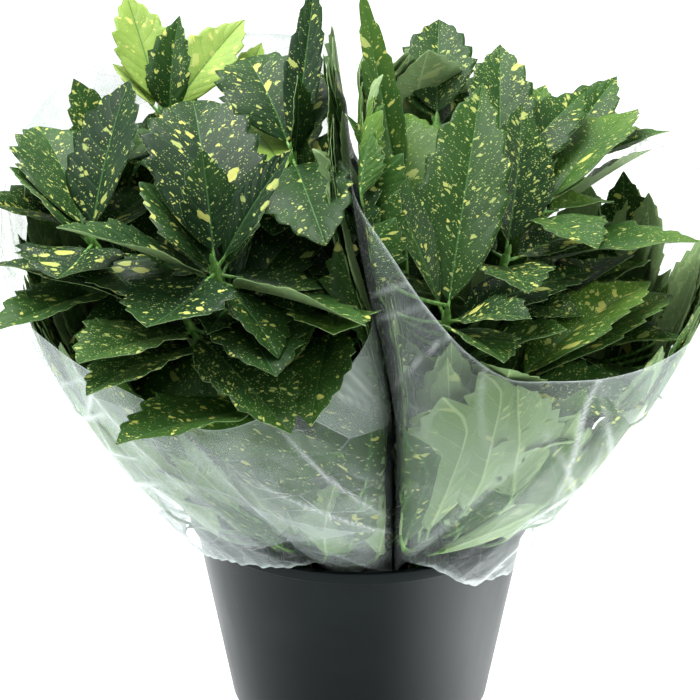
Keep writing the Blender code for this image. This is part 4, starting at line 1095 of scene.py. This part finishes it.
# Turned pieces: a profile of radius and height, its corners cut by short curves, turned round Z.
def roundedProfile(corners, cuts, steps=5):
    # each corner becomes a quadratic curve between points a cut's length before and after it
    corners = np.array(corners, float)
    result = [corners[:1]]
    for k in range(1, len(corners) - 1):
        before, here, after = corners[k - 1], corners[k], corners[k + 1]
        if cuts[k] == 0:
            result.append(here[None])
            continue
        a = here + unit(before - here) * min(cuts[k], 0.45 * np.linalg.norm(before - here))
        b = here + unit(after - here) * min(cuts[k], 0.45 * np.linalg.norm(after - here))
        f = np.linspace(0, 1, steps)[:, None]
        result.append((1 - f) ** 2 * a + 2 * f * (1 - f) * here + f ** 2 * b)
    result.append(corners[-1:])
    return np.vstack(result)


def turnedMesh(name, profile, steps, centre=(0.0, 0.0), closed=False):
    # every profile point at every angle; a point on the axis is one shared point
    angle = 2 * np.pi * np.arange(steps) / steps
    radius, height = profile[:, :1], profile[:, 1:]
    across, away = centre[0] + radius * np.cos(angle), centre[1] + radius * np.sin(angle)
    points = np.stack([across, away, height + 0 * angle], -1).reshape(-1, 3)
    rows, k = len(profile), np.arange(steps)
    row = np.arange(rows if closed else rows - 1)
    start, after = row[:, None] * steps, ((row + 1) % rows)[:, None] * steps
    onward = (k + 1) % steps
    corners = (start + k, after + k, after + onward, start + onward)
    mesh = bpy.data.meshes.new(name)
    mesh.from_pydata(points.tolist(), [], np.stack([corner.ravel() for corner in corners], 1).tolist())
    mergePoles(mesh)
    mesh.polygons.foreach_set("use_smooth", np.ones(len(mesh.polygons), bool))
    piece = bpy.data.objects.new(name, mesh)
    bpy.context.scene.collection.objects.link(piece)
    return piece


def mergePoles(mesh):
    work = bmesh.new()
    work.from_mesh(mesh)
    bmesh.ops.remove_doubles(work, verts=work.verts, dist=1e-6)
    bmesh.ops.dissolve_degenerate(work, edges=work.edges, dist=1e-7)
    bmesh.ops.recalc_face_normals(work, faces=work.faces)
    work.to_mesh(mesh)
    work.free()


bucket = {
    "height": 0.265, "rim": 0.1327, "stepHeight": 0.103, "step": 0.1035, "stepIn": 0.003, "foot": 0.084,
    "wall": 0.0025, "lipOut": 0.0025, "lipHeight": 0.009, "sides": 192,
    "rounds": (0, 0.003, 0.0012, 0.0012, 0.0005, 0.0005, 0.0011, 0.0011, 0.0006, 0.0008, 0.0008, 0.002,
               0.0009, 0),
    "black": (0.0012, 0.0024, 0.0028), "dust": (0.045, 0.060, 0.062),
}


def makePlasticMaterial():
    values = {
        "Roughness": 0.3, "IOR": 1.5, "Specular IOR Level": 0.17,
        "Specular Tint": (0.84, 0.98, 1.0, 1.0),
    }
    material, tree, shader = newMaterial("bucketPlastic", values)
    place = put(tree, "TexCoord").outputs["Object"]
    drawn = put(tree, "Mapping", {"Vector": place, "Scale": (1.0, 1.0, 0.06)}).outputs[0]
    streaks = noise(tree, drawn, 60.0, 4.0).outputs["Fac"]
    dustFilm = noise(tree, place, 9.0, 4.0, 0.6).outputs["Fac"]
    specks = voronoi(tree, place, 95.0).outputs
    chosen = calc(tree, "LESS_THAN", channels(tree, specks["Color"])[0], 0.10)
    speck = times(tree, smoothRamp(tree, specks["Distance"], 0.10, 0.05), chosen)
    dusty = times(tree, smoothRamp(tree, dustFilm, 0.5, 0.8), 0.10)
    dusty = calc(tree, "MAXIMUM", dusty, times(tree, speck, 0.5))
    join(tree, mixColour(tree, dusty, bucket["black"], bucket["dust"]), shader["Base Color"])
    rough = calc(tree, "MULTIPLY_ADD", dustFilm, 0.16, 0.22)
    join(tree, calc(tree, "MULTIPLY_ADD", streaks, 0.10, rough), shader["Roughness"])
    grain = noise(tree, place, 1400.0, 1.0).outputs["Fac"]
    height = calc(tree, "MULTIPLY_ADD", streaks, 0.6, times(tree, grain, 0.25))
    join(tree, bump(tree, height, 0.12, 0.0006), shader["Normal"])
    return material


def makeBucket():
    # the profile from the middle of the floor up the inside, over the lip and down the outside
    b = bucket
    slope = (b["rim"] - b["step"]) / (b["height"] - b["stepHeight"])
    lipFoot = b["height"] - b["lipHeight"]
    wallAtLip = b["rim"] - slope * b["lipHeight"]
    belowStep = b["stepHeight"] - b["stepIn"]
    corners = [
        (0.0, b["wall"]), (b["foot"] - b["wall"] + 0.0004, b["wall"]),
        (b["step"] - b["stepIn"] - b["wall"], belowStep), (b["step"] - b["wall"], b["stepHeight"]),
        (b["rim"] - b["wall"], b["height"] - 0.0012), (b["rim"] - b["wall"] + 0.0008, b["height"]),
        (b["rim"] + b["lipOut"], b["height"]), (b["rim"] + b["lipOut"], lipFoot), (wallAtLip, lipFoot),
        (b["step"], b["stepHeight"]), (b["step"] - b["stepIn"], belowStep),
        (b["foot"] + 0.0012, 0.004), (b["foot"], 0.0), (0.0, 0.0),
    ]
    piece = turnedMesh("bucketShell", roundedProfile(corners, b["rounds"]), b["sides"])
    piece.data.materials.append(makePlasticMaterial())
    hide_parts("bucket")
    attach(piece, "root")


makeBucket()
waterLook = {"deep": (0.20, 0.26, 0.20), "clear": (0.34, 0.40, 0.32)}
tieLook = {"dark": (0.42, 0.30, 0.13), "light": (0.58, 0.44, 0.22), "steps": 96, "round": 0.0005}


def makeWaterMaterial():
    material, tree, shader = newMaterial("bucketWater", {"Roughness": 0.04, "IOR": 1.33})
    place = put(tree, "TexCoord").outputs["Object"]
    cloud = noise(tree, place, 14.0, 3.0).outputs["Fac"]
    join(tree, mixColour(tree, cloud, waterLook["deep"], waterLook["clear"]), shader["Base Color"])
    join(tree, calc(tree, "MULTIPLY_ADD", cloud, 0.3, 0.35), shader["Alpha"])
    join(tree, bump(tree, noise(tree, place, 45.0, 2.0).outputs["Fac"], 0.08, 0.002), shader["Normal"])
    return material


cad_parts["water"].data.materials.clear()
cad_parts["water"].data.materials.append(makeWaterMaterial())


def makeTieMaterial():
    material, tree, shader = newMaterial("tieRubber", {"Roughness": 0.6})
    place = put(tree, "TexCoord").outputs["Object"]
    patch = noise(tree, place, 160.0, 3.0).outputs["Fac"]
    join(tree, mixColour(tree, patch, tieLook["dark"], tieLook["light"]), shader["Base Color"])
    join(tree, bump(tree, noise(tree, place, 2200.0, 2.0).outputs["Fac"], 0.3, 0.0002), shader["Normal"])
    return material


def makeTies():
    # a closed profile that starts and ends half-way up the inside
    rubber = makeTieMaterial()
    middle, half = stems["tieHeight"], stems["tieWidth"] / 2
    for name, bunch in bunches.items():
        near = ringRadius(bunch) + stems["footRadius"] + stems["seatGap"]
        far = near + stems["tieThickness"]
        corners = [(near, middle), (near, middle + half), (far, middle + half), (far, middle - half),
                   (near, middle - half), (near, middle - 1e-4)]
        profile = roundedProfile(corners, [0] + 4 * [tieLook["round"]] + [0])
        piece = turnedMesh("tie_" + name, profile, tieLook["steps"], (bunch["tieX"], 0.0), closed=True)
        piece.data.materials.append(rubber)
        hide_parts("tie_band_" + name)
        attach(piece, "root")


makeTies()
print("bucket, water and ties made")


# Film sleeves: the solids' sheet on a fine grid, with pleats from the hem and straight creases.
# Hems: degrees past where the hem is tucked into the mouth, and height above the rim. Edges: bearing
# (deg) and height of the top edge.
sleeves = {
    "left": {"centreX": -0.115, "seamSide": 1, "bulge": 0.020, "area": 0.27, "crumple": 1.0,
             "tuck": 112.5, "hem": ((-45, -0.017), (0, 0.002), (7.5, 0.002), (15, -0.006)),
             "edge": ((-90, 0.386), (-67, 0.397), (-46, 0.418), (-30, 0.457), (-10, 0.520), (20, 0.575),
                      (55, 0.604), (90, 0.606), (130, 0.590), (160, 0.545), (180, 0.503), (197, 0.464),
                      (212, 0.446), (227, 0.434), (243, 0.419), (258, 0.403))},
    "right": {"centreX": 0.128, "seamSide": -1, "bulge": 0.018, "area": 0.25, "crumple": 0.35,
              "tuck": 67.5, "hem": ((-35, -0.027), (-12, -0.018), (0, 0.002), (7.5, 0.002), (15, -0.006)),
              "edge": ((-89, 0.421), (-64, 0.424), (-45, 0.437), (-25, 0.462), (0, 0.492), (40, 0.524),
                       (80, 0.536), (110, 0.552), (140, 0.580), (165, 0.586), (190, 0.562), (210, 0.532),
                       (225, 0.503), (237, 0.470), (250, 0.438), (261, 0.422))},
}
film = {
    "tuckIn": 0.0145, "tuckSpread": 7.5, "seamGap": 0.0014, "seamLow": 0.024, "seamHigh": -0.010,
    "seamBend": (0.36, 0.56), "swerves": (
        (0.0135, (0.27, 0.31, 0.50, 0.54), (-0.015, 0.035, 0.20, 0.25)),
        (0.0055, (0.50, 0.54, 0.57, 0.60), (-0.005, 0.035, 0.08, 0.12)),
    ), "topDepth": 0.150, "topHalfWidth": 0.155, "columns": 384, "rows": 110,
    "thickness": 0.00012, "pleat": 0.0048, "crease": 0.0022, "creases": 70, "flat": (1.02, 0.42),
    "tint": (0.72, 0.82, 0.79), "white": (0.95, 0.98, 0.98), "seamFade": 0.012, "soft": 0.004,
    "creaseHeights": (0.24, 0.52), "creaseLeans": ((70, 16), (25, 14), (110, 14)),
    "creaseLength": (0.03, 0.11), "creaseSpread": (0.004, 0.013), "ridge": 0.0016,
    "pleats": 9, "pleatCount": (22, 70), "pleatFade": 0.22, "edgeGlint": 0.006, "hemGlint": 0.012,
    "thinnest": 0.035, "thickest": 0.92,
}


def hill(value, ends):
    # rises from 0 to 1 between the first two numbers and falls to 0 between the last two
    a, b, c, d = ends
    return smoothStep((value - a) / (b - a)) * smoothStep((d - value) / (d - c))


def seamX(height, away):
    # the plane between the sleeves, which bends with height and swerves behind its front edge
    low, high = film["seamBend"]
    plane = film["seamLow"] + (film["seamHigh"] - film["seamLow"]) * smoothStep((height - low) / (high - low))
    for push, heights, depths in film["swerves"]:
        plane = plane + push * hill(height, heights) * hill(away, depths)
    return plane


def edgeHeight(edge, bearings):
    # a smooth curve through the listed heights and round again: cubic between neighbours, even slopes
    angles = np.array([angle for angle, height in edge], float)
    angles = np.concatenate([angles - 360, angles, angles + 360])
    heights = np.tile([height for angle, height in edge], 3)
    slopes = np.gradient(heights, angles)
    place = np.searchsorted(angles, bearings, side="right") - 1
    step = angles[place + 1] - angles[place]
    t = (bearings - angles[place]) / step
    lean = t * (1 - t) ** 2 * slopes[place] - t * t * (1 - t) * slopes[place + 1]
    return heights[place] + (heights[place + 1] - heights[place]) * smoothStep(t) + step * lean


def sleeveEnds(sleeve, bearings):
    # heights of the hem and of the top edge, and the hem's radius
    past = sleeve["seamSide"] * (sleeve["tuck"] - np.abs(bearings))
    radius = bucket["rim"] + bucket["lipOut"] + stems["seatGap"]
    radius = radius - film["tuckIn"] * np.clip(past / film["tuckSpread"], 0.0, 1.0)
    hem = bucket["height"] + np.interp(past, *np.array(sleeve["hem"]).T)
    return hem, edgeHeight(sleeve["edge"], bearings), radius


def sleeveSurface(sleeve, bearings, share):
    # from a D round half the rim to a wide D at the top, bulged between; the side next to the other
    # sleeve is pressed flat against the plane between them
    side = sleeve["seamSide"]
    bearings = (bearings + 180.0) % 360.0 - 180.0
    hem, top, radius = sleeveEnds(sleeve, bearings)
    cosine, sine = np.cos(np.radians(bearings)), np.sin(np.radians(bearings))
    height = hem + (top - hem) * share
    swell = sleeve["bulge"] * 4.0 * share * (1.0 - share)
    across = radius * cosine * (1 - share) + (sleeve["centreX"] + film["topHalfWidth"] * cosine) * share
    across = across + swell * cosine
    away = radius * sine * (1 - share) + film["topDepth"] * sine * share + 0.6 * swell * sine
    limit = seamX(height, away) - side * film["seamGap"]
    across = limit - side * film["soft"] * np.logaddexp(0.0, side * (limit - across) / film["soft"])
    return np.stack([across, away, height], -1)


def sleevePoints(sleeve, columns, rows):
    bearings = -180.0 + 360.0 * np.arange(columns) / columns
    return sleeveSurface(sleeve, bearings[:, None], np.linspace(0.0, 1.0, rows + 1)[None, :])


def creaseField(rng, arc, height):
    # Each crease is a straight line on the unrolled film, a tent across it that fades towards its ends.
    # Returns the sum of the tents and a mask of their ridges, which the film's material uses for painted
    # glints.
    lift, mask = np.zeros_like(height), np.zeros_like(height)
    wide = arc.max()
    for _ in range(film["creases"]):
        across, up = arc - rng.uniform(0, wide), height - rng.uniform(*film["creaseHeights"])
        lean = np.radians(rng.choice([rng.normal(*lean) for lean in film["creaseLeans"]]))
        run = across * np.cos(lean) + up * np.sin(lean)
        off = -across * np.sin(lean) + up * np.cos(lean)
        length, spread = rng.uniform(*film["creaseLength"]), rng.uniform(*film["creaseSpread"])
        fade = np.clip(1 - np.abs(run) / length, 0, 1) ** 0.7
        strength = rng.uniform(0.3, 1.0)
        lift += strength * fade * np.clip(1 - np.abs(off) / spread, 0, 1)
        mask = np.maximum(mask, strength * fade * np.exp(-(off / film["ridge"]) ** 2))
    return lift, mask


def makeFilmMaterial():
    # the attribute holds the film's masks: creases and edges, both painted glints, the seam, and how crumpled
    # the sleeve is
    values = {"Roughness": 0.17, "IOR": 1.5, "Specular IOR Level": 0.6}
    material, tree, shader = newMaterial("clearFilm", values)
    plane = put(tree, "UVMap", uv_map="bladeMetres").outputs[0]
    stored = put(tree, "Attribute", attribute_name="leafTone").outputs
    masks, crumple = channels(tree, stored["Color"]), stored["Alpha"]
    haze = smoothRamp(tree, noise(tree, plane, 13.0, 4.0, 0.6).outputs["Fac"], 0.35, 0.70)

    def facets(turn, stretch, scale, lineWidth):
        # flat facets: in each cell the film slopes its own way, with a straight crease round it
        inputs = {"Vector": plane, "Rotation": (0, 0, math.radians(turn)), "Scale": (stretch, 1.0, 1.0)}
        inputs = {"Vector": put(tree, "Mapping", inputs).outputs[0], "Scale": scale}
        cells = put(tree, "TexVoronoi", inputs, voronoi_dimensions="2D").outputs
        offset = vectorCalc(tree, "SUBTRACT", inputs["Vector"], cells["Position"])
        slope = vectorCalc(tree, "SUBTRACT", cells["Color"], (0.5, 0.5, 0.5))
        height = put(tree, "VectorMath", {0: offset, 1: slope}, operation="DOT_PRODUCT").outputs["Value"]
        options = {"voronoi_dimensions": "2D", "feature": "DISTANCE_TO_EDGE"}
        border = put(tree, "TexVoronoi", inputs, **options).outputs["Distance"]
        return height, smoothRamp(tree, border, lineWidth, 0.0), channels(tree, cells["Color"])[2]

    broad, broadLines, broadShine = facets(66.0, 0.30, 24.0, 0.010)
    small, smallLines = facets(-35.0, 0.45, 75.0, 0.022)[:2]
    crumpled = smoothRamp(tree, noise(tree, plane, 17.0, 2.0).outputs["Fac"], 0.50, 0.62)
    # painted glints: the facets' crease lines, and a painted shine on some whole facets, raise the film's
    # opacity
    paintedGlintLines = calc(tree, "MAXIMUM", times(tree, broadLines, 0.5), times(tree, smallLines, crumpled))
    shine = times(tree, calc(tree, "POWER", broadShine, 3.0), 0.22)
    facing = put(tree, "LayerWeight", {"Blend": 0.35}).outputs["Facing"]
    alpha = calc(tree, "MULTIPLY_ADD", times(tree, haze, crumple), 0.22, film["thinnest"])
    alpha = plus(tree, alpha, times(tree, shine, crumple))
    alpha = plus(tree, alpha, times(tree, paintedGlintLines, times(tree, crumple, 0.22)))
    # crease ridges, the top edge and the hem add opacity as painted glints; grazing views add it too
    for mask, share in ((masks[0], 0.40), (masks[1], 0.28), (calc(tree, "POWER", facing, 2.4), 0.24)):
        alpha = plus(tree, alpha, times(tree, mask, share))
    alpha = times(tree, alpha, calc(tree, "MULTIPLY_ADD", masks[2], -0.85, 1.0))
    join(tree, calc(tree, "MINIMUM", alpha, film["thickest"]), shader["Alpha"])
    # crease lines and ridges are painted whiter: painted glints
    bright = calc(tree, "MAXIMUM", paintedGlintLines, masks[0])
    join(tree, mixColour(tree, bright, film["tint"], film["white"]), shader["Base Color"])
    relief = plus(tree, broad, times(tree, small, crumpled))
    join(tree, bump(tree, relief, 0.6, 0.6), shader["Normal"])
    return material


filmMaterial = makeFilmMaterial()


def makeSleeve(name, sleeve, seed):
    # the sheet moved out by its pleats, which die away above the hem, and by its creases
    rng = np.random.default_rng(seed)
    columns, rows = film["columns"], film["rows"]
    points = sleevePoints(sleeve, columns, rows)
    steps = np.linalg.norm(np.roll(points, -1, 0) - points, axis=2)
    arc = np.cumsum(steps, 0) - steps
    height = points[..., 2]
    share = np.linspace(0, 1, rows + 1)[None, :]
    around = np.roll(points, -1, 0) - np.roll(points, 1, 0)
    out = unit(np.cross(np.gradient(points, axis=1), around))
    toOutside = points - points.mean(0, keepdims=True)
    out = out * np.sign((out * toOutside).sum(-1).mean())
    lift, mask = creaseField(rng, arc, height)
    hemArc = arc[:, :1]
    pleats = np.zeros_like(height)
    for _ in range(film["pleats"]):
        count, phase = rng.integers(*film["pleatCount"]), rng.uniform(0, 2 * np.pi)
        pleats += np.abs(np.sin(np.pi * count * hemArc / hemArc.max() + phase)) ** 3 / film["pleats"]
    pleats = pleats * np.exp(-share / film["pleatFade"])
    nearSeam = np.exp(-((points[..., 0] - seamX(height, points[..., 1])) / film["seamFade"]) ** 2)
    push = film["pleat"] * pleats + film["crease"] * np.tanh(lift)
    push = push * (1 - 0.75 * nearSeam) * (0.35 + 0.65 * smoothStep((1 - share) / 0.06))
    points = points + out * push[..., None]
    # painted glints along the top edge and the hem
    glint = np.exp(-((1 - share) / film["edgeGlint"]) ** 2) + np.exp(-(share / film["hemGlint"]) ** 2)
    masks = [np.clip(mask, 0, 1), np.clip(glint + 0 * height, 0, 1), nearSeam, 0 * height + sleeve["crumple"]]
    count = rows + 1
    i, j = np.meshgrid(np.arange(columns), np.arange(rows), indexing="ij")
    a, b = (i * count + j).ravel(), (((i + 1) % columns) * count + j).ravel()
    block = {
        "points": points.reshape(-1, 3), "faces": np.stack([a, b, b + 1, a + 1], 1),
        "slots": np.zeros(columns * rows), "metres": np.stack([arc, height], -1).reshape(-1, 2),
        "place": np.zeros((columns * count, 2)),
        "tone": np.stack(masks, -1).reshape(-1, 4),
    }
    piece = makeMesh("sleeve_" + name, [block], [filmMaterial])
    wall = piece.modifiers.new("film", "SOLIDIFY")
    wall.thickness = film["thickness"]
    wall.offset = 1.0
    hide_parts("film_sleeve_" + name)
    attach(piece, "root")


makeSleeve("left", sleeves["left"], 11)
makeSleeve("right", sleeves["right"], 12)
print("sleeves made")
makeShoots()


# Stage: a pale floor, soft lights and the camera. Lights: name, place, what it faces, size, watts, colour.
coolLight, plainLight = (0.94, 0.98, 1.0), (1.0, 1.0, 1.0)
lights = (
    ("topBox", (-0.30, 0.25, 1.7), (0.0, 0.0, 0.35), (1.3, 1.0), 40.0, plainLight),
    ("leftBox", (-1.5, 0.1, 1.0), (0.0, 0.0, 0.40), (0.8, 1.2), 12.0, coolLight),
    ("rightBox", (1.5, -0.3, 0.9), (0.0, 0.0, 0.35), (0.9, 1.2), 14.0, plainLight),
    ("frontBox", (0.3, -1.9, 2.0), (0.0, 0.0, 0.35), (0.9, 0.6), 8.0, plainLight),
)
stage = {
    "floor": (0.93, 0.95, 0.95), "halfWidth": 14.0, "glowFrom": 0.5, "glowTo": 2.2, "glowNear": 0.10,
    # lamp and the two numbers after it: place, radii and strength of a painted glowing patch on the floor
    "glowFar": 0.85, "lamp": (0.39, -0.13, 0.0), "patchFrom": 0.08, "patchTo": 0.36, "paintedPatchGlow": 4.6,
    "worldFront": 0.06, "worldBehind": 0.85, "worldSeen": 1.06, "bounces": 32,
}


def makeStage():
    # one flat square; it glows faintly near the part and more with the distance, so it stays evenly pale,
    # and glows brightly in a patch to the right like a light table: a painted light patch, which the bucket
    # mirrors
    wide = stage["halfWidth"]
    mesh = bpy.data.meshes.new("paleFloor")
    corners = [(-wide, -wide, 0), (wide, -wide, 0), (wide, wide, 0), (-wide, wide, 0)]
    mesh.from_pydata(corners, [], [(0, 1, 2, 3)])
    floor = bpy.data.objects.new("paleFloor", mesh)
    bpy.context.scene.collection.objects.link(floor)
    material, tree, shader = newMaterial("palePaper", {"Roughness": 0.7, "Emission Strength": 1.0})
    shader["Base Color"].default_value = (*stage["floor"], 1.0)
    place = put(tree, "TexCoord").outputs["Object"]
    apart = vectorLength(tree, place)
    glow = smoothRamp(tree, apart, stage["glowFrom"], stage["glowTo"], stage["glowNear"], stage["glowFar"])
    # a painted light patch on the floor to the right of the bucket, which the bucket's side mirrors
    aside = vectorLength(tree, vectorCalc(tree, "SUBTRACT", place, stage["lamp"]))
    lamp = smoothRamp(tree, aside, stage["patchFrom"], stage["patchTo"], stage["paintedPatchGlow"], 0.0)
    join(tree, plus(tree, glow, lamp), shader["Emission Color"])
    mesh.materials.append(material)


def makeLight(name, location, target, size, power, colour):
    light = bpy.data.lights.new(name, "AREA")
    light.shape = "RECTANGLE"
    light.size, light.size_y = size
    light.energy = power
    light.color = colour
    lamp = bpy.data.objects.new(name, light)
    lamp.location = location
    lamp.visible_camera = False
    lamp.rotation_euler = (Vector(target) - Vector(location)).to_track_quat("-Z", "Y").to_euler()
    bpy.context.scene.collection.objects.link(lamp)


def makeWorld():
    # white to the eye; as light it is dim in front and brighter behind and above
    world = bpy.data.worlds.new("studio")
    bpy.context.scene.world = world
    world.use_nodes = True
    tree = world.node_tree
    background = tree.nodes["Background"]
    direction = axesOf(tree, put(tree, "TexCoord").outputs["Generated"])
    behind = smoothRamp(tree, direction[1], -0.9, 0.8, stage["worldFront"], stage["worldBehind"])
    seen = put(tree, "LightPath").outputs["Is Camera Ray"]
    strength = put(tree, "Mix", {0: seen, 2: behind, 3: stage["worldSeen"]}).outputs[0]
    background.inputs[0].default_value = (*coolLight, 1.0)
    join(tree, strength, background.inputs[1])


def makeView():
    scene = bpy.context.scene
    makeWorld()
    for light in lights:
        makeLight(*light)
    camera = bpy.data.cameras.new("photoCamera")
    camera.lens = cameraPlace["lens"]
    camera.sensor_width = cameraPlace["sensor"]
    view = bpy.data.objects.new("photoCamera", camera)
    view.location = cameraPlace["location"]
    view.rotation_euler = (math.radians(cameraPlace["pitch"]), 0.0, 0.0)
    scene.collection.objects.link(view)
    scene.camera = view
    scene.cycles.transparent_max_bounces = stage["bounces"]
    scene.view_settings.view_transform = "Standard"


makeStage()
makeView()
print("stage, lights and camera made")
